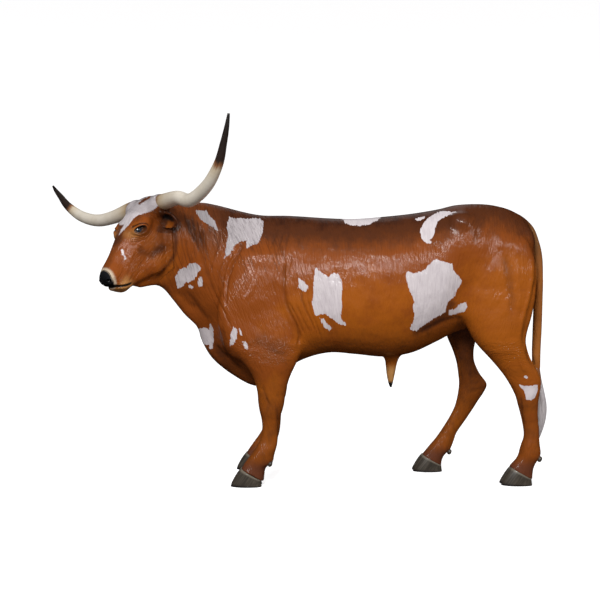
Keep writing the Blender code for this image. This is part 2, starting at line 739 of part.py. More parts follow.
def mouth_cutter(corners, side):
    """A thin wedge from beside the tongue outwards; the two sides' wedges meet in front."""
    rings = []
    for i, corner in enumerate(corners):
        inner = LEFT * side * (MOUTH_CORE if i else -MOUTH_OVERLAP)
        outer = LEFT * side * MOUTH_REACH
        rings.append(
            [
                corner + inner + FACE * MOUTH_HEIGHT / 2,
                corner + outer + FACE * MOUTH_HEIGHT / 2,
                corner + outer - FACE * MOUTH_HEIGHT / 2,
                corner + inner - FACE * MOUTH_HEIGHT / 2,
            ]
        )
    return loft("mouth", rings, None)


def part_cutters():
    """Thin sheets that divide the body into its named parts."""
    cutters = [
        blade([on_head(n, 0, d) for n, d in HEAD_CUT], LEFT, HEAD_BLADE),
        blade([(x, 0, z) for x, z in NECK_CUT], (0, 1, 0), NECK_BLADE),
    ]
    for side in (-1, 1):
        fore = [(FORE_CUT_X, y * side, z) for y, z in FORE_CUT]
        hind = [(HIND_CUT_X, y * side, z) for y, z in HIND_CUT]
        cutters.append(blade(fore, (1, 0, FORE_CUT_TILT), FORE_BLADE))
        cutters.append(blade(hind, (1, 0, HIND_CUT_TILT), HIND_BLADE))
    return cutters


FEET = {
    "foreleg_left": (FORE_TOE_X, -FORE_Y),
    "foreleg_right": (FORE_TOE_X + RIGHT_FORE_BEHIND, FORE_Y),
    "hind_leg_left": (1.058, -HIND_LEFT_Y),
    "hind_leg_right": (0.629, HIND_RIGHT_Y),
}


def coronet_slope():
    run = CORONET_REAR[0] - CORONET_FRONT[0]
    fall = CORONET_FRONT[1] - CORONET_REAR[1]
    return np.arctan2(fall, run)


def below_coronet(toe_x, y):
    """Everything under the slanted line where the hide of a foot ends."""
    turn = Matrix.Rotation(coronet_slope(), 3, "Y")
    middle = Vector(
        (toe_x + (CORONET_FRONT[0] + CORONET_REAR[0]) / 2, y, (CORONET_FRONT[1] + CORONET_REAR[1]) / 2)
    )
    return box(middle - turn @ Vector((0, 0, FOOT_BOX[2] / 2)), FOOT_BOX, turn)


def claw(name, toe_x, y, side, horn):
    """One half of a cloven hoof, flat on the floor; side says on which side of the cleft it lies."""
    turns = np.linspace(0, 2 * np.pi, CLAW_SIDES, endpoint=False)
    rings = []
    for share in (0.0, 0.08, 0.5, 1.0):
        front = CORONET_FRONT[0] * share
        rear = HOOF_LENGTH + (CORONET_REAR[0] - HOOF_LENGTH) * share
        width = CLAW_WIDTH * (0.97 if share == 0 else 1.0 - 0.10 * share)
        front += 0.004 if share == 0 else 0
        along, across = -np.cos(turns), np.sin(turns)
        along = np.sign(along) * np.abs(along) ** CLAW_LONG_POWER
        across = np.where(across > 0, np.abs(across) ** CLAW_OUTER_POWER, -np.abs(across) ** CLAW_INNER_POWER)
        u = (front + rear) / 2 + along * (rear - front) / 2
        v = CLEFT / 2 + (across + 1) / 2 * width * np.where(along < 0, 1 - 0.25 * along**2, 1)
        slope = coronet_slope()
        top_z = CORONET_FRONT[1] - (u - CORONET_FRONT[0]) * np.tan(slope) - GAP / np.cos(slope)
        rings.append([(toe_x + a, y + side * b, share * z) for a, b, z in zip(u, v, top_z)])
    return loft(name, rings, horn)


def dewclaw(name, x, y, z, horn):
    turn = Matrix.Rotation(DEWCLAW_TILT, 3, "Y")
    return ball(name, (x, y, z), DEWCLAW_RADII, horn, turn, segments=8, rings=5)


def horn_piece(name, side, horn):
    rows = smooth_rows(HORN, HORN_RINGS)
    centres = [
        HEAD_AT + AHEAD * ahead + LEFT * side * aside + HEAD_UP * (up + side * lift)
        for ahead, aside, up, _, lift in rows
    ]
    return loft(name, curve_rings(centres, rows[:, 3] * HORN_ROOT_RADIUS, AHEAD, HORN_SIDES), horn)


def ear_piece(name, side, hide):
    """A cupped leaf on a short stalk, its opening towards the nose."""
    root = on_head(EAR_ROOT[0], EAR_ROOT[1] * side, EAR_ROOT[2])
    tip = on_head(EAR_TIP[0], EAR_TIP[1] * side, EAR_TIP[2])
    way = (tip - root).normalized()
    facing = on_head(*EAR_FACES) - HEAD_AT
    facing = (facing - way * facing.dot(way)).normalized()
    breadth = way.cross(facing)
    rings = []
    for share, width, depth, hollow in smooth_rows(EAR, EAR_RINGS):
        spread = np.linspace(-EAR_WRAP, EAR_WRAP, 9)
        outer = [(width * np.sin(a), -depth * np.cos(a)) for a in spread]
        wall = EAR_WALL * min(1.0, width / 0.02)
        rim = depth * np.cos(EAR_WRAP) * (1 - hollow)
        inner = [
            ((width - wall) * np.sin(a) * 0.98, -(depth - wall) * np.cos(a) * hollow - rim)
            for a in spread[::-1]
        ]
        middle = root + (tip - root) * share
        rings.append([middle + breadth * a + facing * b for a, b in outer + inner])
    return loft(name, rings, hide)


def tail_piece(hide):
    rows = smooth_rows(TAIL, TAIL_RINGS)
    centres = [Vector((x, 0, z)) for x, z, _ in rows]
    return loft("tail", curve_rings(centres, rows[:, 2], Vector((0, 1, 0)), 12), hide)


def switch_piece(hair):
    rows = smooth_rows(SWITCH, SWITCH_RINGS)
    rings = []
    for z, x, radius in rows:
        share = (rows[0, 0] - z) / (rows[0, 0] - rows[-1, 0])
        turns = np.linspace(0, 2 * np.pi, 3 * SWITCH_LOCKS, endpoint=False)
        ridge = 1 + 0.10 * np.cos(SWITCH_LOCKS * (turns + SWITCH_TWIST * share)) * min(1, 3 * share)
        lower = GAP if share == 0 else 0
        edge = radius * ridge
        rings.append([(x + r * np.cos(t), r * np.sin(t), z - lower) for t, r in zip(turns, edge)])
    return loft("tail_switch", rings, hair)


def sheath_piece(hide):
    rings = []
    for z, x, long, wide in smooth_rows(SHEATH, SHEATH_RINGS):
        rings.append([(x + a, b, z) for a, b in oval(long, wide, wide, sides=14)])
    return loft("sheath", rings, hide)


def main():
    clear_scene()
    hide = material("hide", (0.36, 0.13, 0.035), 0.35)
    horn = material("horn", (0.62, 0.55, 0.42), 0.30)
    eye = material("eye", (0.01, 0.012, 0.02), 0.08)
    hoof = material("hoof", (0.07, 0.06, 0.05), 0.35)
    hair = material("hair", (0.70, 0.66, 0.62), 0.40)

    body = build_body(hide)
    cut_away(body, face_cutters() + [below_coronet(*foot) for foot in FEET.values()])
    cut_away(body, part_cutters())
    whole = {}
    points = points_of(body)
    found = islands(body)
    for name, place in SEEDS.items():
        nearest = min(found, key=lambda kept: np.linalg.norm(points[kept] - np.array(place), axis=1).min())
        whole[name] = keep_points(body, nearest, name)
    bpy.data.objects.remove(body)

    torso, head = whole["torso"], whole["head"]
    for side, sign in (("left", 1), ("right", -1)):
        ball(f"eye_{side}", on_head(EYE_AT[0], EYE_AT[1] * sign, EYE_AT[2]), (EYE_RADIUS,) * 3, eye)
        horn_made = horn_piece(f"horn_{side}", sign, horn)
        seat(horn_made, [head], ROOT_GAP)
        seat(ear_piece(f"ear_{side}", sign, hide), [head, horn_made], ROOT_GAP)
    for name, (toe_x, y) in FEET.items():
        place = name.replace("leg_", "_").replace("__", "_")
        for side, sign in (("inner", -1), ("outer", 1)):
            away = sign * (1 if y > 0 else -1)
            claw(f"claw_{place}_{side}", toe_x, y, away, hoof)
            rear = DEWCLAWS[name]
            made = dewclaw(f"dewclaw_{place}_{side}", rear[0], y + away * DEWCLAW_ASIDE, rear[1], hoof)
            seat(made, [whole[name]])
    seat(tail_piece(hide), [torso])
    switch_piece(hair)
    seat(sheath_piece(hide), [torso])
    finish()


def finish():
    """Puts the pieces in one collection and the origin on the floor under the middle of the whole."""
    pieces = [obj for obj in bpy.data.objects if obj.type == "MESH"]
    corners = np.vstack([points_of(obj) for obj in pieces])
    low, high = corners.min(0), corners.max(0)
    shift = Vector((-(low[0] + high[0]) / 2, -(low[1] + high[1]) / 2, -low[2]))
    home = bpy.data.collections.new("texas_longhorn_statue")
    bpy.context.scene.collection.children.link(home)
    for obj in pieces:
        obj.data.transform(Matrix.Translation(shift))
        for collection in list(obj.users_collection):
            collection.objects.unlink(obj)
        home.objects.link(obj)
        obj.data.shade_smooth()
        obj.data.set_sharp_from_angle(angle=np.radians(50))


main()
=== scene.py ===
"""Looks of the texas longhorn statue: painted skin over moulded hair, glossy eyes, painted horns and hoofs.

The rows and lofts repeat the part's own, in its body frame (the bull looks towards -X with its head turned
to its left, -Y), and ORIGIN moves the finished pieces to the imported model's frame. All lengths in metres.
"""

import bmesh
import bpy
import numpy as np
from mathutils import Matrix, Vector

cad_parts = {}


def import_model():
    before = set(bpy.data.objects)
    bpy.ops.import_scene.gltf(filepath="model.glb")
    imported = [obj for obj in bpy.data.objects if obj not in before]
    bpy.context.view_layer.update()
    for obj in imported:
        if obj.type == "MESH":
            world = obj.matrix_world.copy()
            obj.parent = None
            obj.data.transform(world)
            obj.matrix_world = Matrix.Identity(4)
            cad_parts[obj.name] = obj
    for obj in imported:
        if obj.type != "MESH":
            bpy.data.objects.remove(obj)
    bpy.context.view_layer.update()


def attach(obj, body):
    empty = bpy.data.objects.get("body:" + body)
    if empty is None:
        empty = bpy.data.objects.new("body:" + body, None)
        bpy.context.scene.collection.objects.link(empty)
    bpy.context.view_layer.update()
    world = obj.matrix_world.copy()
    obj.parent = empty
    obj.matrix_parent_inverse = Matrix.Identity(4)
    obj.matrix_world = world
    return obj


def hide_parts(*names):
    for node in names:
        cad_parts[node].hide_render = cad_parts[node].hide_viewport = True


ORIGIN = Vector((0.044617, 0.199583, 0.0))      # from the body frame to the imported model's frame

COARSE_VOXEL, HEAD_VOXEL, SKIN_VOXEL = 0.012, 0.006, 0.005
RING_SIDES, HORN_SIDES = 48, 56
JOIN_ROUNDS, HEAD_ROUNDS, NAPE_ROUNDS, LAST_ROUNDS = 40, 16, 80, 5

HEAD_AT = Vector((-0.798, -0.166, 1.457))
HEAD_YAW, HEAD_ROLL, HEAD_PITCH = 42.0, 6.0, 52.0
FORE_Y, HIND_LEFT_Y, HIND_RIGHT_Y = 0.200, 0.170, 0.150
RIGHT_FORE_BEHIND = 0.006

JAW_DEPTH = -0.257                       # below this, in the head frame, is the neck
EYE_AT = (0.177, 0.083, 0.017)
EYE_RADIUS, EYE_BULGE = 0.027, 0.0016
IRIS_SHARE = 0.62                        # radius of the iris and its dark ring, of the eye's
GAZE = (0.30, 0.93, 0.15)                # along, aside and out in the head frame
EYE_OPENING = (0.0240, 0.0170)           # half length and half height
EYE_SLANT = 30.0
RIM_SCALE = 0.016                        # from a share of the opening's size to metres, roughly
EYE_REACH = 0.075
# Rounds of finer faces: how far they reach from the eye, and whether the muzzle gets them too.
REFINED = ((EYE_REACH, True), (0.048, False))
MUZZLE_FROM = 0.37
NOSTRIL_AT = (0.464, 0.038, -0.016)
LEATHER_AT, LEATHER_RADII = (0.474, 0.0, -0.010), (0.061, 0.059, 0.050)
MOUTH_LINE = (
    (0.520, -0.028), (0.484, -0.036), (0.473, -0.056), (0.460, -0.076), (0.438, -0.097), (0.415, -0.114),
)
CHEEK_LINE = ((0.26, -0.10), (0.33, -0.112), (0.38, -0.115))
BONE_LINE = ((0.235, -0.035), (0.270, -0.030), (0.315, -0.040), (0.345, -0.042))
BROW_LINE = ((0.10, 0.075), (0.19, 0.066), (0.26, 0.055))
# Ridges of the face, and creases, whose height is below zero: distance from a rim or line, width, height.
LID_EDGE = (0.0035, 0.0035, 0.0045)
LID_CREASE, LID_FOLD = (0.0110, 0.0025, -0.0030), (0.0160, 0.0040, 0.0030)
EYE_WRINKLES, WRINKLE = (0.019, 0.027, 0.036), (0.0022, -0.0022)
NOSTRIL_WING = (1.25, 0.28, 0.0035)
MOUTH_GAP, LIPS = (0.0, 0.0040, -0.009), (0.011, 0.006, 0.0030)
CHEEK_HOLLOW, BONE_RIDGE = (0.0, 0.018, -0.003), (0.0, 0.009, 0.0035)
SOCKET_DEPTH, NOSTRIL_DEPTH = 0.018, 0.014
# Forms of the head, on both sides and in the middle: place in the head frame, radii.
HEAD_PAIRS = (
    ((0.000, 0.106, -0.005), (0.066, 0.064, 0.059)),    # boss that carries the horn
    ((0.142, 0.090, 0.008), (0.070, 0.046, 0.046)),     # brow over the eye
    (EYE_AT, (0.036, 0.033, 0.031)),                    # lids
    ((0.200, 0.060, -0.160), (0.115, 0.038, 0.078)),    # cheek
    ((0.290, 0.050, -0.058), (0.110, 0.022, 0.024)),    # ridge of the cheek bone
    ((0.440, 0.040, -0.024), (0.034, 0.034, 0.036)),    # wing of the nostril
)
HEAD_MIDDLE = (
    ((-0.010, 0, 0.020), (0.050, 0.090, 0.032)),        # poll
    ((0.420, 0, -0.108), (0.048, 0.046, 0.034)),        # chin
)
HORN_ROOT_RADIUS = 0.0415
RIDGE_HEIGHT, RIDGE_STEP, RIDGES_FADE = 0.012, 0.021, 0.12    # growth rings at the horn's root
EAR_ROOT, EAR_TIP, EAR_FACES = (0.055, 0.080, -0.022), (0.052, 0.195, -0.100), (0.80, 0.25, 0.45)
EAR_WALL, EAR_WRAP = 0.011, 1.75
# Ear: share of its length, half width, depth of the cup, how hollow.
EAR = (
    (0.00, 0.020, 0.022, 0.0),
    (0.15, 0.026, 0.026, 0.2),
    (0.30, 0.037, 0.031, 0.9),
    (0.50, 0.045, 0.030, 1.0),
    (0.70, 0.042, 0.024, 1.0),
    (0.88, 0.028, 0.016, 0.9),
    (1.00, 0.008, 0.007, 0.4),
)

# Trunk: x, top, floor, half width, height of the widest line, roundness above it, roundness below it.
TRUNK = (
    (-0.46, 1.300, 0.700, 0.120, 1.000, 2.0, 2.0),
    (-0.38, 1.400, 0.585, 0.185, 1.000, 2.0, 2.0),
    (-0.28, 1.427, 0.540, 0.222, 0.980, 1.9, 2.0),
    (-0.15, 1.425, 0.545, 0.240, 0.960, 1.9, 2.1),
    (0.00, 1.418, 0.637, 0.256, 0.980, 2.0, 2.2),
    (0.15, 1.408, 0.682, 0.282, 0.980, 2.1, 2.3),
    (0.30, 1.404, 0.674, 0.300, 0.975, 2.2, 2.3),
    (0.45, 1.416, 0.660, 0.304, 0.990, 2.2, 2.2),
    (0.60, 1.432, 0.680, 0.292, 1.030, 2.2, 2.1),
    (0.74, 1.455, 0.742, 0.272, 1.120, 2.3, 2.0),
    (0.84, 1.478, 0.790, 0.258, 1.240, 2.5, 1.9),
    (0.97, 1.484, 0.830, 0.240, 1.230, 2.2, 1.9),
    (1.06, 1.473, 0.870, 0.222, 1.200, 2.1, 1.9),
    (1.14, 1.448, 0.920, 0.196, 1.180, 2.1, 1.9),
    (1.21, 1.400, 0.980, 0.150, 1.170, 2.0, 1.9),
    (1.25, 1.330, 1.060, 0.090, 1.180, 2.0, 2.0),
)

# Neck: x, y, turn to the left in degrees, top, underside, half width, height of the widest line.
NECK = (
    (-0.08, 0.000, 0.0, 1.400, 0.760, 0.200, 1.080),
    (-0.28, 0.000, 4.0, 1.440, 0.640, 0.212, 1.080),
    (-0.41, -0.010, 12.0, 1.472, 0.730, 0.192, 1.130),
    (-0.52, -0.036, 22.0, 1.490, 0.850, 0.170, 1.190),
    (-0.62, -0.080, 32.0, 1.488, 0.960, 0.148, 1.250),
    (-0.71, -0.135, 40.0, 1.484, 1.060, 0.126, 1.300),
    (-0.76, -0.165, 42.0, 1.470, 1.120, 0.105, 1.310),
)

# Dewlap and brisket: x, y, z of its edge, depth, half thickness.
DEWLAP = (
    (-0.90, -0.320, 1.070, 0.020, 0.018),
    (-0.83, -0.245, 1.042, 0.045, 0.028),
    (-0.75, -0.165, 1.038, 0.060, 0.034),
    (-0.685, -0.120, 0.985, 0.065, 0.038),
    (-0.62, -0.080, 0.896, 0.070, 0.042),
    (-0.55, -0.050, 0.815, 0.075, 0.050),
    (-0.51, -0.020, 0.704, 0.080, 0.060),
    (-0.45, 0.000, 0.617, 0.085, 0.072),
    (-0.35, 0.000, 0.540, 0.085, 0.082),
    (-0.24, 0.000, 0.489, 0.080, 0.084),
    (-0.14, 0.000, 0.530, 0.070, 0.080),
    (-0.04, 0.000, 0.610, 0.060, 0.075),
)

# Skull, in the head frame: station, face line, jaw line, half width, widest line, roundness above, below.
SKULL = (
    (-0.110, -0.025, -0.090, 0.055, -0.050, 2.0, 2.0),
    (-0.060, 0.024, -0.150, 0.096, -0.040, 2.3, 2.0),
    (0.000, 0.054, -0.195, 0.110, -0.030, 2.5, 2.0),
    (0.060, 0.064, -0.222, 0.110, -0.025, 2.6, 2.4),
    (0.120, 0.064, -0.242, 0.108, -0.015, 2.6, 2.9),
    (0.170, 0.061, -0.250, 0.106, -0.010, 2.5, 3.3),
    (0.220, 0.055, -0.244, 0.095, -0.040, 2.3, 3.6),
    (0.270, 0.051, -0.224, 0.081, -0.070, 2.2, 3.6),
    (0.330, 0.041, -0.190, 0.070, -0.075, 2.2, 3.4),
    (0.375, 0.036, -0.162, 0.067, -0.070, 2.3, 3.0),
    (0.410, 0.032, -0.145, 0.071, -0.065, 2.5, 2.2),
    (0.440, 0.025, -0.134, 0.071, -0.062, 2.6, 2.3),
    (0.462, 0.011, -0.120, 0.063, -0.060, 2.6, 2.3),
    (0.474, -0.014, -0.100, 0.044, -0.058, 2.3, 2.2),
)

# Foreleg: height, front edge, rear edge, half width.
FORELEG = (
    (1.240, -0.300, -0.120, 0.020),
    (1.120, -0.360, -0.090, 0.040),
    (0.980, -0.425, -0.055, 0.052),
    (0.850, -0.440, -0.020, 0.066),
    (0.740, -0.385, -0.002, 0.078),
    (0.650, -0.300, -0.012, 0.082),
    (0.580, -0.250, -0.044, 0.076),
    (0.505, -0.226, -0.068, 0.066),
    (0.440, -0.220, -0.080, 0.058),
    (0.395, -0.213, -0.092, 0.056),
    (0.360, -0.204, -0.104, 0.048),
    (0.310, -0.199, -0.111, 0.039),
    (0.250, -0.208, -0.115, 0.037),
    (0.212, -0.226, -0.120, 0.045),
    (0.180, -0.246, -0.129, 0.051),
    (0.155, -0.265, -0.136, 0.052),
    (0.130, -0.283, -0.139, 0.051),
    (0.112, -0.296, -0.158, 0.050),
    (0.096, -0.305, -0.180, 0.051),
    (0.060, -0.328, -0.186, 0.058),
    (0.020, -0.356, -0.190, 0.062),
)

# Left hind leg, drawn back: height, front edge, rear edge, half width.
HIND_LEFT = (
    (1.300, 0.900, 1.190, 0.060),
    (1.180, 0.860, 1.232, 0.070),
    (1.030, 0.842, 1.238, 0.085),
    (0.900, 0.850, 1.217, 0.094),
    (0.800, 0.885, 1.191, 0.094),
    (0.745, 0.922, 1.188, 0.089),
    (0.670, 0.996, 1.211, 0.071),
    (0.600, 1.056, 1.250, 0.056),
    (0.543, 1.096, 1.270, 0.050),
    (0.474, 1.133, 1.262, 0.047),
    (0.430, 1.146, 1.256, 0.044),
    (0.357, 1.166, 1.256, 0.037),
    (0.298, 1.178, 1.262, 0.035),
    (0.250, 1.181, 1.264, 0.037),
    (0.205, 1.166, 1.268, 0.044),
    (0.170, 1.158, 1.273, 0.049),
    (0.145, 1.150, 1.268, 0.050),
    (0.125, 1.136, 1.254, 0.049),
    (0.100, 1.112, 1.240, 0.050),
    (0.070, 1.096, 1.232, 0.054),
    (0.040, 1.078, 1.230, 0.057),
    (0.015, 1.060, 1.228, 0.060),
)

# Right hind leg, a step ahead: height, front edge, rear edge, half width.
HIND_RIGHT = (
    (1.300, 0.880, 1.170, 0.060),
    (1.180, 0.830, 1.190, 0.075),
    (1.030, 0.800, 1.170, 0.090),
    (0.900, 0.790, 1.110, 0.098),
    (0.810, 0.800, 1.040, 0.092),
    (0.751, 0.816, 0.990, 0.084),
    (0.690, 0.846, 0.972, 0.069),
    (0.620, 0.872, 0.972, 0.056),
    (0.546, 0.884, 1.005, 0.050),
    (0.489, 0.889, 1.046, 0.049),
    (0.440, 0.884, 1.028, 0.047),
    (0.400, 0.877, 1.001, 0.045),
    (0.350, 0.862, 0.970, 0.040),
    (0.285, 0.828, 0.928, 0.036),
    (0.215, 0.784, 0.880, 0.037),
    (0.170, 0.752, 0.864, 0.044),
    (0.135, 0.722, 0.851, 0.049),
    (0.115, 0.706, 0.842, 0.049),
    (0.098, 0.692, 0.820, 0.050),
    (0.070, 0.672, 0.801, 0.053),
    (0.040, 0.652, 0.794, 0.057),
    (0.015, 0.640, 0.796, 0.060),
)

# Horn: forwards, outwards, upwards, share of the root radius, how much higher the left one stands.
HORN = (
    (-0.002, 0.060, 0.006, 1.02, 0.000),
    (-0.002, 0.150, 0.010, 1.00, 0.000),
    (0.020, 0.307, -0.002, 0.86, 0.010),
    (0.040, 0.443, -0.017, 0.80, -0.005),
    (0.050, 0.594, 0.027, 0.72, -0.004),
    (0.063, 0.710, 0.103, 0.56, 0.002),
    (0.072, 0.773, 0.179, 0.40, 0.015),
    (0.078, 0.812, 0.232, 0.28, 0.028),
    (0.082, 0.838, 0.276, 0.14, 0.040),
)

# Tail: x, z, radius.
TAIL = (
    (1.100, 1.410, 0.036),
    (1.165, 1.398, 0.035),
    (1.226, 1.350, 0.032),
    (1.259, 1.285, 0.029),
    (1.282, 1.200, 0.027),
    (1.289, 1.080, 0.026),
    (1.289, 0.940, 0.025),
    (1.286, 0.800, 0.025),
    (1.283, 0.690, 0.024),
    (1.282, 0.590, 0.024),
)

# Tail switch: z, x of its middle, radius.
SWITCH = (
    (0.600, 1.282, 0.022),
    (0.540, 1.284, 0.029),
    (0.470, 1.290, 0.039),
    (0.390, 1.298, 0.046),
    (0.310, 1.298, 0.043),
    (0.240, 1.290, 0.032),
    (0.190, 1.284, 0.018),
    (0.165, 1.282, 0.007),
)
LOCKS, CORE_LOCKS, LOCK_SIDES = 19, 5, 14

# Sheath: z, x of its middle, half length along X, half width.
SHEATH = (
    (0.700, 0.500, 0.075, 0.050),
    (0.650, 0.498, 0.042, 0.036),
    (0.606, 0.495, 0.030, 0.028),
    (0.557, 0.493, 0.022, 0.021),
    (0.513, 0.493, 0.013, 0.013),
    (0.486, 0.494, 0.005, 0.005),
)

FEET = {
    "fore_left": (-0.366, -FORE_Y),
    "fore_right": (-0.366 + RIGHT_FORE_BEHIND, FORE_Y),
    "hind_left": (1.058, -HIND_LEFT_Y),
    "hind_right": (0.629, HIND_RIGHT_Y),
}
HOOF_LENGTH, CORONET_FRONT, CORONET_REAR = 0.165, (0.058, 0.092), (0.160, 0.034)
UNDER_FOOT = (0.40, 0.18, 0.16)          # what is cut off the hide below the coronet
CLAW_WIDTH, CLEFT, CLAW_GAP, CLAW_ROUNDING = 0.058, 0.006, 0.0008, 0.004
CLAW_SIDES, CLAW_LEVELS = 64, 30
DEWCLAWS = {
    "fore_left": (-0.157, 0.118),
    "fore_right": (-0.157 + RIGHT_FORE_BEHIND, 0.118),
    "hind_left": (1.262, 0.137),
    "hind_right": (0.835, 0.108),
}
DEWCLAW_ASIDE, DEWCLAW_RADII, DEWCLAW_TILT = 0.024, (0.012, 0.013, 0.016), 0.5

# Joins between lofts that are blended most: x, y, z, radius.
JOINS = (
    (-0.30, 0.00, 1.40, 0.22),
    (-0.05, 0.24, 0.62, 0.20),
    (-0.05, -0.24, 0.62, 0.20),
    (-0.30, 0.00, 0.56, 0.20),
    (-0.40, 0.16, 0.80, 0.22),
    (-0.40, -0.16, 0.80, 0.22),
    (-0.20, 0.20, 1.15, 0.26),
    (-0.20, -0.20, 1.15, 0.26),
    (0.84, 0.18, 0.86, 0.22),
    (0.86, -0.18, 0.86, 0.22),
    (0.98, 0.00, 0.84, 0.24),
    (1.00, 0.20, 1.30, 0.30),
    (1.00, -0.20, 1.30, 0.30),
    (1.22, 0.00, 1.10, 0.20),
    (-0.66, -0.08, 1.20, 0.20),
    (-0.72, -0.16, 1.10, 0.14),
)
ROOTS = ((1.16, 0.0, 1.36, 0.10), (0.50, 0.0, 0.68, 0.09))    # of the tail and the sheath
# The same for the join of head and neck, in the head frame.
NAPE = (
    ((-0.090, 0.00, 0.000), 0.11),
    ((0.020, 0.09, -0.170), 0.12),
    ((0.020, -0.09, -0.170), 0.12),
    ((0.200, 0.00, -0.290), 0.12),
)

# The sketch sheet. Folds and patches are drawn on a flat sheet beside the statue, in units of which
# SHEET_SCALE go to a metre at one metre from EYE_POINT, and are thrown onto the side from that point.
EYE_POINT = (0.0, -5.3, 1.262)
SHEET_SCALE, SHEET_MIDDLE, SHEET_TILT = 980.0, 300.0, 3.2
SIDE_AWAY = 5.1                          # from EYE_POINT to the statue's side
UNIT = SIDE_AWAY / SHEET_SCALE           # a sheet unit on the statue's side, in metres
RIGHT_FOLDS_FROM = 200                   # folds ahead of this are on the left side only
PATCH_REACH = 6                          # how far from its outline a patch's depth is told, in sheet units
LENS = 58.8

# Folds of the body: depth and half width in metres, how dark the painted shade lies in them, and their
# line.
# A depth below zero is a ridge.
FOLDS = (
    (0.004, 0.008, 0.45, (
        (199, 233), (201, 250), (203, 262), (207, 274), (213, 290), (220, 305), (226, 316), (231, 327))),
    (0.005, 0.004, 0.9, ((188, 219), (191, 232), (195, 243))),
    (0.005, 0.004, 0.9, ((192, 217), (194, 230), (197, 243), (199, 252))),
    (0.004, 0.004, 0.6, ((184, 214), (188, 226), (190, 236))),
    (0.004, 0.003, 0.6, ((197, 221), (200, 236), (203, 250), (206, 262))),
    (0.004, 0.003, 0.55, ((203, 229), (205, 243), (208, 256), (213, 270))),
    (0.004, 0.003, 0.50, ((180, 228), (182, 240), (183, 252), (186, 262))),
    (0.004, 0.003, 0.50, ((186, 240), (188, 252), (191, 264))),
    (0.004, 0.003, 0.50, ((192, 250), (194, 262), (199, 276), (205, 290))),
    (0.003, 0.003, 0.25, ((176, 240), (177, 254), (175, 266), (170, 278))),
    (0.003, 0.003, 0.25, ((206, 284), (212, 298), (217, 310), (221, 322))),
    (0.004, 0.003, 0.50, ((220, 232), (219, 246), (214, 260), (210, 274))),
    (0.004, 0.003, 0.50, ((226, 258), (221, 268), (218, 280), (218, 292))),
    (0.004, 0.003, 0.45, ((229, 258), (225, 270), (223, 284), (223, 300))),
    (0.006, 0.006, 0.55, ((242, 247), (237, 257), (232, 267), (228, 280), (226, 294), (226, 308))),
    (-0.005, 0.009, 0.0, ((236, 254), (229, 266), (225, 280), (223, 298))),
    (0.004, 0.012, 0.35, ((184, 289), (193, 300), (201, 311), (210, 323))),
    (0.005, 0.010, 0.35, ((213, 342), (222, 353), (232, 361), (244, 372))),
    (0.004, 0.010, 0.30, ((222, 318), (222, 330), (225, 340))),
    (0.003, 0.006, 0.25, ((282, 322), (286, 332), (287, 344))),
    (0.002, 0.004, 0.30, ((290, 228), (287, 240), (285, 252), (285, 262))),
    (0.002, 0.003, 0.25, ((284, 232), (280, 244), (277, 256))),
    (0.002, 0.003, 0.25, ((279, 228), (274, 240), (270, 250))),
    (0.009, 0.007, 0.65, (
        (285, 262), (284, 276), (284, 290), (286, 303), (291, 315), (297, 327), (300, 336), (298, 346))),
    (0.004, 0.004, 0.4, ((291, 258), (289, 268), (288, 280))),
    (0.005, 0.004, 0.5, ((288, 301), (294, 312), (299, 322), (304, 334))),
    (0.005, 0.004, 0.6, ((301, 289), (302, 300), (306, 311), (311, 321), (315, 331))),
    (0.004, 0.004, 0.4, ((308, 300), (311, 312), (316, 325), (321, 337))),
    (0.004, 0.004, 0.35, ((296, 305), (302, 318), (309, 332))),
    (-0.004, 0.012, 0.0, ((258, 276), (252, 290), (244, 302))),
    (0.006, 0.017, 0.62, ((503, 252), (507, 268), (510, 284), (512, 300), (513, 318))),
    (-0.003, 0.012, 0.0, ((514, 258), (518, 276), (520, 292), (521, 308))),
    (0.005, 0.018, 0.25, ((478, 224), (478, 236), (474, 248))),
    (0.004, 0.014, 0.55, ((418, 334), (430, 328), (442, 322), (456, 318), (468, 322))),
    (0.006, 0.011, 0.35, ((537, 258), (537, 276), (533, 298), (528, 318), (524, 336), (524, 350))),
    (-0.005, 0.010, 0.0, ((532, 262), (532, 280), (528, 300), (522, 320), (519, 340))),
    (0.010, 0.012, 0.5, ((526, 346), (530, 358), (535, 368))),
    (-0.006, 0.008, 0.0, ((517, 352), (521, 364), (526, 374))),
    (0.004, 0.008, 0.3, ((520, 395), (521, 410), (523, 426))),
    (0.004, 0.007, 0.35, ((262, 385), (266, 398), (271, 408))),
    (0.004, 0.008, 0.3, ((277, 405), (279, 430), (280, 448))),
)

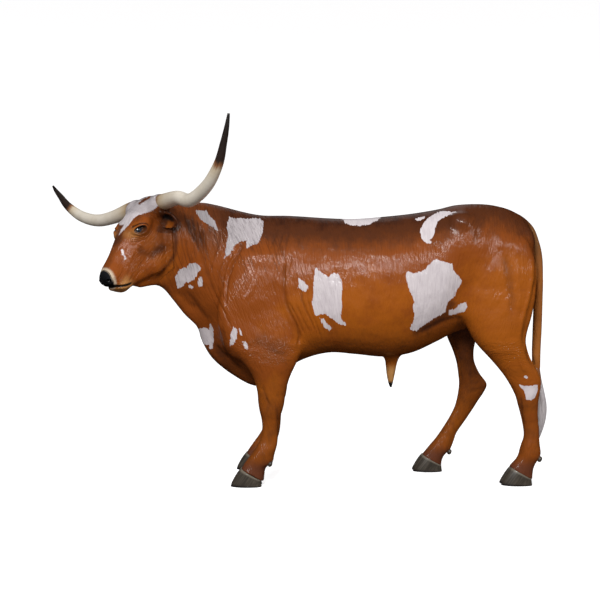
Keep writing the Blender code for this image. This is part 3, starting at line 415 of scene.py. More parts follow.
# White patches of the left side, and of the right side, which was made up. All on the sketch sheet.
LEFT_PATCHES = (
    ((195, 210), (207, 211), (210, 216), (215, 222), (219, 232), (211, 226), (202, 221), (198, 216)),
    ((229, 217), (238, 219), (260, 218), (264, 221), (262, 234), (258, 244), (252, 245), (246, 249),
     (247, 239), (243, 242), (240, 241), (234, 246), (230, 254), (224, 259), (226, 246), (228, 237),
     (227, 226)),
    ((175, 278), (178, 271), (183, 268), (186, 268), (189, 264), (196, 262), (199, 266), (201, 268),
     (197, 274), (194, 280), (189, 282), (185, 283), (182, 287), (178, 288), (176, 285)),
    ((199, 277), (201, 276), (203, 281), (202, 287), (199, 287), (198, 283)),
    ((188, 286), (191, 285), (194, 287), (192, 289), (189, 288)),
    ((198, 329), (205, 328), (209, 329), (210, 324), (213, 328), (214, 341), (213, 349), (210, 348),
     (209, 345), (204, 345), (201, 337)),
    ((234, 327), (237, 329), (237, 333), (236, 339), (233, 345), (230, 346), (230, 339), (231, 332)),
    ((239, 328), (241, 330), (243, 336), (241, 335)),
    ((242, 341), (246, 342), (248, 345), (248, 349), (245, 348)),
    ((299, 279), (303, 281), (308, 286), (306, 292), (303, 291), (298, 288)),
    ((316, 268), (322, 273), (329, 277), (333, 273), (338, 274), (341, 279), (342, 287), (341, 298),
     (342, 307), (341, 318), (346, 325), (342, 325), (336, 322), (331, 318), (325, 314), (318, 315),
     (315, 315), (312, 304), (313, 290), (314, 278)),
    ((320, 318), (324, 319), (327, 323), (332, 328), (330, 331), (325, 328), (322, 323)),
    ((341, 214), (355, 210), (384, 210), (381, 218), (371, 224), (358, 226), (349, 225), (343, 221)),
    ((458, 212), (447, 211), (438, 212), (429, 217), (423, 224), (420, 232), (422, 239), (426, 243),
     (430, 244), (432, 242), (430, 240), (433, 237), (435, 229), (438, 221), (446, 216), (453, 214)),
    ((415, 219), (421, 217), (426, 216), (424, 219), (417, 221)),
    ((436, 259), (441, 261), (452, 264), (454, 272), (459, 276), (462, 281), (460, 286), (456, 290),
     (455, 296), (449, 301), (446, 307), (445, 312), (439, 316), (432, 320), (424, 325), (416, 331),
     (412, 331), (410, 328), (413, 322), (414, 313), (413, 309), (415, 302), (410, 292), (408, 284),
     (405, 276), (407, 272), (415, 273), (420, 272), (426, 269), (430, 263)),
    ((459, 304), (466, 302), (468, 306), (465, 312), (461, 312), (453, 315), (449, 315), (449, 310),
     (455, 309)),
    ((523, 376), (526, 375), (529, 377), (527, 379), (524, 378)),
    ((520, 385), (524, 386), (532, 386), (538, 384), (538, 391), (534, 399), (531, 401), (527, 399),
     (524, 392)),
)
RIGHT_PATCHES = (
    ((341, 214), (355, 208), (384, 208), (380, 217), (372, 219), (368, 229), (361, 226), (352, 231),
     (349, 222)),
    ((248, 214), (272, 213), (285, 217), (279, 226), (283, 236), (271, 239), (268, 252), (262, 266),
     (258, 251), (251, 247), (254, 233), (246, 226)),
    ((264, 288), (270, 290), (277, 284), (282, 293), (279, 303), (284, 312), (275, 311), (270, 318),
     (266, 306), (262, 299)),
    ((289, 318), (293, 320), (295, 329), (291, 334), (287, 326)),
    ((352, 262), (362, 251), (369, 256), (383, 253), (391, 264), (388, 275), (397, 284), (392, 297),
     (395, 312), (382, 309), (377, 322), (366, 314), (362, 301), (350, 297), (354, 280), (347, 271)),
    ((403, 312), (411, 309), (413, 317), (408, 324), (403, 320)),
    ((432, 224), (446, 222), (459, 227), (454, 236), (461, 247), (450, 251), (446, 261), (438, 252),
     (440, 241), (431, 236)),
    ((470, 288), (479, 280), (485, 287), (494, 286), (492, 299), (498, 312), (487, 315), (481, 327),
     (474, 315), (477, 303), (468, 299)),
    ((505, 270), (510, 267), (511, 275), (507, 281)),
    ((208, 240), (217, 235), (224, 240), (222, 249), (229, 260), (221, 270), (216, 260), (209, 256)),
    ((214, 302), (223, 296), (227, 304), (224, 312), (227, 321), (218, 324), (216, 313)),
    ((480, 384), (487, 385), (489, 394), (484, 404), (480, 396)),
)
# Painted shade in strokes on the left side: line, half width in metres, tone.
SHADED = (
    (((451, 303), (447, 312), (433, 321), (416, 330)), 0.028, 0.45),
    (((141, 251), (151, 255), (161, 248)), 0.028, 0.45),
    (((262, 340), (270, 346), (282, 350)), 0.055, 0.35),
    (((174, 226), (176, 240), (175, 254), (168, 265), (158, 275)), 0.012, 0.40),
)
# The blaze of the face, the brown streak left free in it, and the thin stroke beside it.
BLAZE = (
    ((128, 196), (150, 186), (170, 184), (170, 195), (164, 201), (158, 206), (153, 210), (149, 212),
     (139, 215), (133, 219), (127, 227), (119, 235), (121, 229), (123, 225), (120, 225), (119, 223),
     (120, 212)),
    ((120.2, 249), (122.3, 249.3), (127.0, 259), (125.0, 260.3)),
)
BLAZE_GAP = ((151, 195.5), (150, 198), (142, 203), (139, 205), (138.5, 203), (143, 199))

# Lean of the hair strokes of the side, from x = HAIR_X[0] to the tail.
HAIR_X = (-0.9, -0.55, -0.35, -0.1, 0.3, 0.75, 0.95, 1.10, 1.25)
HAIR_LEAN = (-0.25, -0.25, -0.45, -0.25, -0.05, 0.05, 0.30, 0.10, -0.20)

# How dark each region of the body and of the face is painted; the back is the coat's own darker colour, the
# brisket, brow and bridge are painted darker, and the other regions are painted shade.
BODY_TONES = {
    "back": 0.97, "folds": 0.45, "belly": 0.22, "inner_legs": 0.60, "throat": 0.20, "behind_ear": 0.20,
    "brisket": 0.35, "ears": 0.35, "lower_legs": 0.30,
}
FACE_TONES = {"brow": 0.45, "bridge": 0.30, "lid": 0.90, "wrinkles": 0.35, "jaw": 0.35}

# The floor: radius and height of its rings.
FLOOR = (
    (3.0, 0.0), (6.0, 0.0), (9.0, 0.0), (10.5, 0.25), (12.0, 0.9), (13.5, 2.0), (15.0, 3.8), (16.0, 5.8),
    (16.5, 8.0),
)
FLOOR_SIDES = 96
# Lights, which all face LIT_POINT: name, place, size, power.
LIGHTS = (
    ("key", (-0.7, -4.9, 3.9), 1.4, 225),
    ("side", (3.6, -4.4, 3.1), 1.2, 65),
    ("back", (0.5, 4.5, 4.5), 3.0, 10),
)
LIT_POINT = (0.1, 0.2, 0.9)


def smooth_rows(rows, count):
    """Rows keyed by their first value, drawn out to count rows on a smooth curve through them."""
    rows = np.array(rows, float)
    way = np.arange(len(rows), dtype=float)
    slope = np.gradient(rows, way, axis=0)
    at = np.linspace(0, len(rows) - 1, count)
    low = np.minimum(at.astype(int), len(rows) - 2)
    t = (at - low)[:, None]
    start, end = rows[low], rows[low + 1]
    return (
        start * (1 + 2 * t) * (1 - t) ** 2
        + slope[low] * t * (1 - t) ** 2
        + end * t * t * (3 - 2 * t)
        + slope[low + 1] * t * t * (t - 1)
    )


def full_turn(count):
    """Count angles that share out a full turn."""
    return np.linspace(0, 2 * np.pi, count, endpoint=False)


def oval(half_width, above, below, power_above=2.0, power_below=2.0, sides=RING_SIDES):
    """A closed ring of (across, up) pairs round its widest line; a power over 2 makes it fuller."""
    turn = full_turn(sides)
    across, up = np.sin(turn), np.cos(turn)
    power = np.where(up > 0, power_above, power_below)
    ring_across = np.sign(across) * np.abs(across) ** (2 / power) * half_width
    ring_up = np.sign(up) * np.abs(up) ** (2 / power) * np.where(up > 0, above, below)
    return np.column_stack([ring_across, ring_up])


def new_object(name, data):
    obj = bpy.data.objects.new(name, data)
    bpy.context.scene.collection.objects.link(obj)
    return obj


def object_from(shape, name, place=None):
    """A scene object from a bmesh, moved by a matrix where one is given."""
    mesh = bpy.data.meshes.new(name)
    shape.to_mesh(mesh)
    shape.free()
    if place is not None:
        mesh.transform(place)
    return new_object(name, mesh)


def take_in(shape, piece):
    """Adds a piece's mesh to a bmesh and removes the piece."""
    shape.from_mesh(piece.data)
    bpy.data.objects.remove(piece)


def loft(name, rings):
    """A closed mesh through rings that have the same number of points, capped at both ends."""
    shape = bmesh.new()
    loops = [[shape.verts.new(point) for point in ring] for ring in rings]
    for first, second in zip(loops, loops[1:]):
        for i in range(len(first)):
            j = (i + 1) % len(first)
            shape.faces.new((first[i], first[j], second[j], second[i]))
    for ring, loop in ((rings[0], loops[0]), (rings[-1], loops[-1])):
        middle = shape.verts.new(np.mean(ring, axis=0))
        for i in range(len(loop)):
            shape.faces.new((loop[i], loop[(i + 1) % len(loop)], middle))
    bmesh.ops.recalc_face_normals(shape, faces=shape.faces)
    return object_from(shape, name)


def ball(name, centre, radii, turn=Matrix.Identity(3), segments=24, rings=16):
    """An ellipsoid with its radii along the body's axes, or along the columns of turn."""
    shape = bmesh.new()
    bmesh.ops.create_uvsphere(shape, u_segments=segments, v_segments=rings, radius=1.0)
    return object_from(shape, name, Matrix.Translation(centre) @ (turn @ Matrix.Diagonal(radii)).to_4x4())


def box(centre, size, turn):
    shape = bmesh.new()
    bmesh.ops.create_cube(shape, size=1.0)
    return object_from(shape, "box", Matrix.Translation(centre) @ (turn @ Matrix.Diagonal(size)).to_4x4())


def head_axes():
    """Towards the nose, to its left, out of its face, and forwards and up before it is pitched down."""
    turn = Matrix.Rotation(np.radians(HEAD_YAW), 3, "Z")
    ahead = turn @ Vector((-1, 0, 0))
    left = turn @ Vector((0, -1, 0))
    roll = Matrix.Rotation(np.radians(HEAD_ROLL), 3, ahead)
    left, up = roll @ left, roll @ Vector((0, 0, 1))
    pitch = np.radians(HEAD_PITCH)
    nose = ahead * np.cos(pitch) - up * np.sin(pitch)
    face = ahead * np.sin(pitch) + up * np.cos(pitch)
    return nose, left, face, ahead, up


NOSE, LEFT, FACE, AHEAD, HEAD_UP = head_axes()
HEAD_TURN = Matrix((NOSE, LEFT, FACE)).transposed()


def on_head(along, aside, out):
    return HEAD_AT + NOSE * along + LEFT * aside + FACE * out


def in_head(points):
    """Head frame coordinates of many points."""
    return (points - np.array(HEAD_AT)) @ np.array(HEAD_TURN)


def trunk_rings():
    rings = []
    for x, top, floor, half, wide, above, below in smooth_rows(TRUNK, 130):
        ring = oval(half, top - wide, wide - floor, above, below)
        rings.append([(x, across, wide + up) for across, up in ring])
    return rings


def neck_rings():
    rings = []
    for x, y, turn, top, under, half, wide in smooth_rows(NECK, 70):
        side = np.array((np.sin(np.radians(turn)), -np.cos(np.radians(turn))))
        ring = oval(half, top - wide, wide - under)
        rings.append([(x + side[0] * a, y + side[1] * a, wide + up) for a, up in ring])
    return rings


def dewlap_rings():
    rows = smooth_rows(DEWLAP, 80)
    along = np.gradient(rows[:, :3], axis=0)
    rings = []
    for (x, y, z, depth, thick), way in zip(rows, along):
        way = Vector(way).normalized()
        inward = Vector((0, 0, 1)) - way * way.z
        if inward.length < 0.3:
            inward = Vector((-way.z, 0, way.x))
        inward = inward.normalized()
        side = way.cross(inward)
        middle = Vector((x, y, z)) + inward * depth
        ring = oval(thick, depth, depth, sides=24)
        rings.append([middle + side * a + inward * up for a, up in ring])
    return rings


def leg_rings(rows, y, behind=0.0):
    rings = []
    for z, front, rear, half in smooth_rows(rows, 120):
        ring = oval((rear - front) / 2, half, half, 2.2, 2.2, sides=40)
        rings.append([((front + rear) / 2 + behind + a, y + up, z) for a, up in ring])
    return rings


def skull_rings():
    rings = []
    for along, face, jaw, half, wide, above, below in smooth_rows(SKULL, 100):
        ring = oval(half, face - wide, wide - jaw, above, below)
        rings.append([on_head(along, across, wide + up) for across, up in ring])
    return rings


def curve_rings(centres, radii, reference, sides):
    """Round rings square to a path; reference is a direction that the path never runs along."""
    along = np.gradient(np.array(centres), axis=0)
    turns = full_turn(sides)
    rings = []
    for centre, way, radius in zip(centres, along, radii):
        way = Vector(way).normalized()
        first = way.cross(reference).normalized()
        second = way.cross(first)
        rings.append([Vector(centre) + (first * np.cos(t) + second * np.sin(t)) * radius for t in turns])
    return rings


def head_forms():
    """Bony and fleshy forms that stand out of the skull's plain rings."""
    spots = []
    for side in (-1, 1):
        spots += [((along, aside * side, out), radii) for (along, aside, out), radii in HEAD_PAIRS]
    return [ball("form", on_head(*place), radii, HEAD_TURN) for place, radii in (*spots, *HEAD_MIDDLE)]


def body_forms():
    """Muscles that cross the joins of the plain lofts."""
    forms = []
    for side, hip_x in ((-1, 1.02), (1, 0.98)):
        for centre, radii in (
            ((-0.250, 0.170 * side, 0.960), (0.160, 0.095, 0.260)),   # shoulder blade
            ((-0.300, 0.165 * side, 0.780), (0.120, 0.080, 0.130)),   # point of the shoulder
            ((-0.120, 0.190 * side, 0.720), (0.130, 0.075, 0.150)),   # upper arm
            ((hip_x, 0.140 * side, 1.080), (0.200, 0.115, 0.260)),    # thigh
            ((0.840, 0.190 * side, 1.380), (0.075, 0.065, 0.060)),    # hook bone
            ((1.180, 0.090 * side, 1.280), (0.070, 0.060, 0.090)),    # pin bone
        ):
            forms.append(ball("form", centre, radii))
    return forms


def ear_frame(side):
    """Root, length, and the ear's directions: to its tip, where it opens, and across."""
    root = on_head(EAR_ROOT[0], EAR_ROOT[1] * side, EAR_ROOT[2])
    tip = on_head(EAR_TIP[0], EAR_TIP[1] * side, EAR_TIP[2])
    way = (tip - root).normalized()
    facing = on_head(*EAR_FACES) - HEAD_AT
    facing = (facing - way * facing.dot(way)).normalized()
    return root, (tip - root).length, way, facing, way.cross(facing)


def ear_rings(side):
    """A cupped leaf on a short stalk, its opening towards the nose."""
    root, length, way, facing, breadth = ear_frame(side)
    rings = []
    for share, width, depth, hollow in smooth_rows(EAR, 40):
        spread = np.linspace(-EAR_WRAP, EAR_WRAP, 21)
        wall = EAR_WALL * min(1.0, width / 0.02)
        outer = [(width * np.sin(a), -depth * np.cos(a)) for a in spread]
        rim = -depth * np.cos(EAR_WRAP) * (1 - hollow)
        across, deep = (width - wall) * 0.98, (depth - wall) * hollow
        inner = [(across * np.sin(a), rim - deep * np.cos(a)) for a in spread[::-1]]
        middle = root + way * length * share
        rings.append([middle + breadth * a + facing * b for a, b in outer + inner])
    return rings


def tail_rings():
    rows = smooth_rows(TAIL, 80)
    return curve_rings([Vector((x, 0, z)) for x, z, _ in rows], rows[:, 2], Vector((0, 1, 0)), 32)


def sheath_rings():
    rings = []
    for z, x, long, wide in smooth_rows(SHEATH, 40):
        rings.append([(x + a, b, z) for a, b in oval(long, wide, wide, sides=32)])
    return rings


def bake(obj):
    """Replaces an object's mesh with what its modifiers make of it."""
    graph = bpy.context.evaluated_depsgraph_get()
    made = bpy.data.meshes.new_from_object(obj.evaluated_get(graph))
    obj.modifiers.clear()
    obj.data = made


def fuse(name, pieces, voxel):
    """One closed mesh from overlapping closed ones."""
    shape = bmesh.new()
    for piece in pieces:
        take_in(shape, piece)
    body = object_from(shape, name)
    remesh = body.modifiers.new("fuse", "REMESH")
    remesh.mode = "VOXEL"
    remesh.voxel_size = voxel
    bake(body)
    return body


def triples(layer, name):
    values = np.empty(len(layer) * 3)
    layer.foreach_get(name, values)
    return values.reshape(-1, 3)


def points_of(obj):
    return triples(obj.data.vertices, "co")


def normals_of(obj):
    return triples(obj.data.vertex_normals, "vector")


def put_points(obj, points):
    obj.data.vertices.foreach_set("co", points.astype(np.float32).ravel())
    obj.data.update()


def relax(obj, weight, rounds):
    """Moves each point towards the mean of its neighbours, by its weight, rounds times."""
    points = points_of(obj)
    edges = np.empty(len(obj.data.edges) * 2, np.int64)
    obj.data.edges.foreach_get("vertices", edges)
    first, second = edges.reshape(-1, 2).T
    count = np.bincount(edges, minlength=len(points))
    used = (weight[first] > 0) | (weight[second] > 0)
    first, second = first[used], second[used]
    for _ in range(rounds):
        total = np.column_stack(
            [
                np.bincount(first, points[second, axis], len(points))
                + np.bincount(second, points[first, axis], len(points))
                for axis in range(3)
            ]
        )
        points += (total / count[:, None] - points) * weight[:, None]
    put_points(obj, points)


def near_spots(points, spots):
    """From 0 away from every spot to 1 in its middle. A spot is x, y, z, radius."""
    weight = np.zeros(len(points))
    for *centre, radius in spots:
        share = np.linalg.norm(points - centre, axis=1) / radius
        weight = np.maximum(weight, np.clip(1.5 - 1.5 * share, 0, 1))
    return weight


def ease(low, high, value):
    """From 0 at low to 1 at high, with soft ends; low may be the greater."""
    share = np.clip((value - low) / (high - low), 0, 1)
    return share * share * (3 - 2 * share)


def bump_at(distance, width):
    """1 where the distance is 0, falling off over the width."""
    return np.exp(-((distance / width) ** 2))


def cut_away(target, cutters):
    for cutter in cutters:
        cut = target.modifiers.new("cut", "BOOLEAN")
        cut.operation = "DIFFERENCE"
        cut.object = cutter
        cut.solver = "MANIFOLD"
        bake(target)
        bpy.data.objects.remove(cutter)


def coronet_slope():
    return np.arctan2(CORONET_FRONT[1] - CORONET_REAR[1], CORONET_REAR[0] - CORONET_FRONT[0])


def below_coronet(toe_x, y):
    """Everything under the slanted line where the hide of a foot ends."""
    turn = Matrix.Rotation(coronet_slope(), 3, "Y")
    middle_x, middle_z = ((front + rear) / 2 for front, rear in zip(CORONET_FRONT, CORONET_REAR))
    down = turn @ Vector((0, 0, UNDER_FOOT[2] / 2))
    return box(Vector((toe_x + middle_x, y, middle_z)) - down, UNDER_FOOT, turn)


def build_skin():
    """The whole bull without horns, eyes, hoofs and tail switch, as one closed mesh in the body frame."""
    pieces = [
        loft("body", trunk_rings()),
        loft("neck", neck_rings()),
        loft("dewlap", dewlap_rings()),
        loft("leg", leg_rings(FORELEG, -FORE_Y)),
        loft("leg", leg_rings(FORELEG, FORE_Y, RIGHT_FORE_BEHIND)),
        loft("leg", leg_rings(HIND_LEFT, -HIND_LEFT_Y)),
        loft("leg", leg_rings(HIND_RIGHT, HIND_RIGHT_Y)),
    ]
    body = fuse("body", pieces + body_forms(), COARSE_VOXEL)
    relax(body, 0.5 * near_spots(points_of(body), JOINS), JOIN_ROUNDS)
    head = fuse("head", [loft("skull", skull_rings())] + head_forms(), HEAD_VOXEL)
    relax(head, np.full(len(head.data.vertices), 0.5), HEAD_ROUNDS)
    extras = [loft("ear", ear_rings(side)) for side in (1, -1)]
    extras += [loft("tail", tail_rings()), loft("sheath", sheath_rings())]
    skin = fuse("hide_skin", [body, head] + extras, SKIN_VOXEL)
    points = points_of(skin)
    nape = [(*on_head(*place), radius) for place, radius in NAPE]
    weight = np.maximum(near_spots(points, nape), 0.6 * near_spots(points, ROOTS))
    in_ear = near_ear(points)
    relax(skin, 0.5 * weight * (1 - in_ear), NAPE_ROUNDS)
    relax(skin, 0.5 - 0.25 * in_ear, LAST_ROUNDS)
    cut_away(skin, [below_coronet(*foot) for foot in FEET.values()])
    refine(skin)
    return skin


def near_ear(points):
    """1 on the free part of the ears, 0 elsewhere."""
    share = np.zeros(len(points))
    for side in (1, -1):
        root, length, way = ear_frame(side)[:3]
        offset = points - np.array(root)
        along = offset @ np.array(way) / length
        apart = np.linalg.norm(offset - along[:, None] * length * np.array(way), axis=1)
        share = np.maximum(share, ease(0.25, 0.4, along) * (along < 1.2) * (apart < 0.07))
    return share


def from_eye(place):
    """Distance of each place in the head frame from the middle of the eye on its side."""
    mirrored = np.column_stack([place[:, 0], np.abs(place[:, 1]), place[:, 2]])
    return np.linalg.norm(mirrored - EYE_AT, axis=1)


def refine(obj):
    """Finer faces round the eyes, nostrils and mouth."""
    for eye_reach, with_muzzle in REFINED:
        shape = bmesh.new()
        shape.from_mesh(obj.data)
        place = in_head(np.array([v.co for v in shape.verts]))
        n, t, d = place.T
        muzzle = (n > MUZZLE_FROM) & (np.abs(d + 0.05) < 0.105) & (np.abs(t) < 0.1)
        chosen = (from_eye(place) < eye_reach) | (muzzle & with_muzzle)
        edges = [e for e in shape.edges if chosen[e.verts[0].index] and chosen[e.verts[1].index]]
        bmesh.ops.subdivide_edges(shape, edges=edges, cuts=1, use_grid_fill=True)
        bmesh.ops.triangulate(shape, faces=[f for f in shape.faces if len(f.verts) > 4])
        shape.to_mesh(obj.data)
        shape.free()
        place = in_head(points_of(obj))
        fresh = (from_eye(place) < eye_reach) | ((place[:, 0] > MUZZLE_FROM) & with_muzzle)
        relax(obj, 0.5 * fresh, 2)


def on_sheet(points, near):
    """Sketch sheet coordinates of points, seen from the left, or mirrored from the right."""
    y = points[:, 1] if near else -points[:, 1]
    tilt = np.radians(SHEET_TILT)
    ahead = y - EYE_POINT[1]
    rise = points[:, 2] - EYE_POINT[2]
    depth = ahead * np.cos(tilt) - rise * np.sin(tilt)
    height = rise * np.cos(tilt) + ahead * np.sin(tilt)
    u = SHEET_MIDDLE + SHEET_SCALE * (points[:, 0] - EYE_POINT[0]) / depth
    v = SHEET_MIDDLE - SHEET_SCALE * height / depth
    return np.column_stack([u, v])


def from_segment(place, first, second):
    first, second = np.array(first, float), np.array(second, float)
    way = second - first
    share = np.clip((place - first) @ way / (way @ way), 0, 1)
    return np.linalg.norm(place - first - share[:, None] * way, axis=1)


def from_line(place, line):
    """Distance of each place from a polyline."""
    return np.min([from_segment(place, a, b) for a, b in zip(line, line[1:])], axis=0)


def inside(place, corners):
    """How deep each place lies in a polygon, below zero outside it."""
    corners = [np.array(corner, float) for corner in corners]
    depth = from_line(place, corners + corners[:1])
    within = np.zeros(len(place), bool)
    for (x1, y1), (x2, y2) in zip(corners, corners[1:] + corners[:1]):
        if y1 != y2:
            crosses = (place[:, 1] < y1) != (place[:, 1] < y2)
            within ^= crosses & (place[:, 0] < x1 + (place[:, 1] - y1) * (x2 - x1) / (y2 - y1))
    return np.where(within, depth, -depth)


def near_line(line, sheet, reach):
    """The places on the sheet that may be within reach of a line."""
    line = np.array(line, float)
    low, high = line.min(0) - reach, line.max(0) + reach
    return np.flatnonzero(((sheet > low) & (sheet < high)).all(1))


def sculpt_folds(points, normals):
    """Depth of the folds at each point, and how dark the painted shade lies in them."""
    depth, dark = np.zeros(len(points)), np.zeros(len(points))
    for near in (True, False):
        sheet = on_sheet(points, near)
        aside = -1 if near else 1
        facing = ease(0.0, 0.30, normals[:, 1] * aside)
        mine = points[:, 1] * aside > -0.02
        for deep, half, paint, line in FOLDS:
            if not near and min(u for u, v in line) < RIGHT_FOLDS_FROM:
                continue
            some = near_line(line, sheet, 4.5 * half / UNIT)
            some = some[mine[some] & (facing[some] > 0)]
            away = from_line(sheet[some], line) * UNIT
            ends = [np.linalg.norm(sheet[some] - end, axis=1) for end in (line[0], line[-1])]
            fade = ease(0, 4 * half, np.min(ends, axis=0) * UNIT)
            depth[some] += deep * bump_at(away, half) * facing[some] * (0.15 + 0.85 * fade)
            dark[some] += paint * bump_at(away, half * 1.5) * facing[some] * (0.2 + 0.8 * fade)
    return depth, dark


def eye_rim(place):
    """How far each point lies outside the gap between the lids, and 1 where it lies above the eye."""
    slant = np.radians(EYE_SLANT)
    n, t, d = place[:, 0] - EYE_AT[0], np.abs(place[:, 1]) - EYE_AT[1], place[:, 2] - EYE_AT[2]
    long = n * np.cos(slant) + d * np.sin(slant)
    high = -n * np.sin(slant) + d * np.cos(slant)
    size = np.hypot(long / EYE_OPENING[0], high / EYE_OPENING[1])
    at_eye = (from_eye(place) < REFINED[0][0]) & (t > -0.01)
    return np.where(at_eye, (size - 1) * RIM_SCALE, 1.0), ease(-0.3, 0.6, high / 0.02)


def ripple(distance, form):
    """A ridge, or a crease where its height is below zero, at a distance from a line or rim."""
    at, width, height = form
    return height * bump_at(distance - at, width)


def sculpt_face(place):
    """Outward displacement over the face, by head frame coordinates, and weights of the black paint."""
    rim, upper = eye_rim(place)
    at_eye = rim < 0.1
    lids = ripple(rim, LID_EDGE) + ripple(rim, LID_CREASE) * (0.4 + 0.6 * upper)
    lids += ripple(rim, LID_FOLD) * upper
    lids += sum(ripple(rim, (ring, *WRINKLE)) for ring in EYE_WRINKLES) * (1 - upper)
    out = at_eye * (lids - SOCKET_DEPTH * ease(0.001, -0.004, rim))
    black = at_eye * ease(0.0034, 0.0010, rim) * (0.75 + 0.25 * upper)
    # Nostril: a comma that opens forwards and aside, under a raised wing, its pit painted black as painted
    # shade.
    n, t, d = place[:, 0] - NOSTRIL_AT[0], np.abs(place[:, 1]) - NOSTRIL_AT[1], place[:, 2] - NOSTRIL_AT[2]
    size = np.sqrt((n / 0.022) ** 2 + (t / 0.014) ** 2 + ((d - 0.25 * n) / 0.011) ** 2)
    out += ripple(size, NOSTRIL_WING) - NOSTRIL_DEPTH * ease(1.0, 0.5, size)
    black = np.maximum(black, ease(1.05, 0.8, size))
    # Mouth: a sharp line between two full lips, its gap painted black as painted shade.
    profile = place[:, [0, 2]]
    line = from_line(profile, MOUTH_LINE)
    low = place[:, 0] > MOUTH_LINE[-1][0] - 0.02
    out += low * (ripple(line, MOUTH_GAP) + ripple(line, LIPS))
    black = np.maximum(black, low * ease(0.0065, 0.0040, line))
    # The cheek hollows behind the mouth's corner, and the ridge of the cheek bone has small bumps.
    out += ripple(from_line(profile, CHEEK_LINE), CHEEK_HOLLOW)
    out += ripple(from_line(profile, BONE_LINE), BONE_RIDGE) * (1 + 0.6 * np.sin(place[:, 0] * 330))
    return out, black


def sculpt(skin):
    """Presses the folds and the face into the skin.

    Gives the points' places in the head frame, how far each belongs to the skull, and the painted shade of
    the folds and the black paint of the face.
    """
    points, normals = points_of(skin), normals_of(skin)
    place = in_head(points)
    depth, dark = sculpt_folds(points, normals)
    out, black = sculpt_face(place)
    in_skull = ease(-0.04, 0.02, place[:, 0]) * ease(JAW_DEPTH - 0.010, JAW_DEPTH, place[:, 2])
    in_skull *= ease(-0.59, -0.69, points[:, 0])
    put_points(skin, points + normals * (out * in_skull - depth * (1 - in_skull))[:, None])
    return place, in_skull, dark * (1 - in_skull), black * in_skull


def add_field(mesh, name, values):
    """Gives each point of a mesh a number, or a vector where there are three columns."""
    kind, key = ("FLOAT", "value") if values.ndim == 1 else ("FLOAT_VECTOR", "vector")
    layer = mesh.attributes.new(name, kind, "POINT")
    layer.data.foreach_set(key, values.astype(np.float32).ravel())


def white_depth(points, normals, place):
    """How deep each point lies in a white patch, in metres, below zero outside them."""
    depth = np.full(len(points), -0.03)
    left, right = on_sheet(points, True), on_sheet(points, False)
    in_skull = (place[:, 0] > -0.06) & (place[:, 2] > JAW_DEPTH)
    for patches, sheet, mine in (
        (LEFT_PATCHES, left, (points[:, 1] < 0.0) & ~in_skull & (normals[:, 1] < 0.25)),
        (RIGHT_PATCHES, right, (points[:, 1] >= 0.0) & (normals[:, 1] > -0.25)),
        (BLAZE, left, in_skull & (normals[:, 1] < 0.4)),
    ):
        for corners in patches:
            some = near_line(corners, sheet, PATCH_REACH)
            some = some[mine[some]]
            deep = np.clip(inside(sheet[some], corners), -PATCH_REACH, PATCH_REACH) * UNIT
            depth[some] = np.maximum(depth[some], deep)
    some = np.flatnonzero(in_skull)
    gap = inside(left[some], BLAZE_GAP) * UNIT
    depth[some] = np.minimum(depth[some], -gap)
    return depth


def muzzle_paint(place, in_skull):
    """How deep each point lies in the black leather, the pale ring round it, and the pale lips and chin."""
    leather = 1 - np.linalg.norm((place - LEATHER_AT) / LEATHER_RADII, axis=1)
    leather = 0.05 * (leather * in_skull - (1 - in_skull))
    pale = in_skull * ease(-0.016, -0.007, leather)
    lips = in_skull * ease(0.375, 0.435, place[:, 0]) * ease(-0.045, -0.075, place[:, 2])
    return leather, pale, lips


def ear_paint(points, normals):
    """Black paint as painted shade in the upper part of the ears' cups, and orange in the lower part."""
    black, ember = np.zeros(len(points)), np.zeros(len(points))
    for side in (1, -1):
        root, length, way, facing, breadth = (np.array(value) for value in ear_frame(side))
        offset = points - root
        along, up, across = offset @ way / length, offset @ facing, offset @ breadth
        cup = ease(0.05, 0.2, along) * ease(0.95, 0.75, along) * ease(0.1, 0.5, normals @ facing)
        cup *= (np.abs(across) < 0.045) & (np.abs(up) < 0.040) & (along < 1.1)
        higher = across * np.sign(breadth[2])
        black = np.maximum(black, cup * ease(-0.003, -0.010, up) * ease(-0.016, 0.004, higher))
        ember = np.maximum(ember, cup * ease(0.010, -0.010, higher) * ease(0.45, 0.6, along))
    return black, ember


def back_and_flank(points):
    """Weights of the dark back and of the orange flanks and legs."""
    x, _, z = points.T
    ridge = np.interp(x, [row[0] for row in TRUNK], [row[1] for row in TRUNK])
    ridge = np.where(x < -0.28, 1.43 + 0.25 * (-0.28 - x), ridge)
    back = ease(0.26, 0.0, ridge - z) * ease(-1.0, -0.5, x) * (1 - 0.25 * ease(0.7, 0.9, x))
    back = np.maximum(back, 0.9 * ease(0.14, 0.0, 1.49 - z) * ease(-0.3, -0.5, x))
    back *= 1 - 0.45 * ease(-0.30, -0.55, x)
    flank = np.maximum(ease(1.22, 0.95, z) * ease(-0.3, 0.1, x), ease(1.32, 1.10, z) * ease(0.75, 0.95, x))
    return back, np.maximum(flank, ease(0.75, 0.45, z))


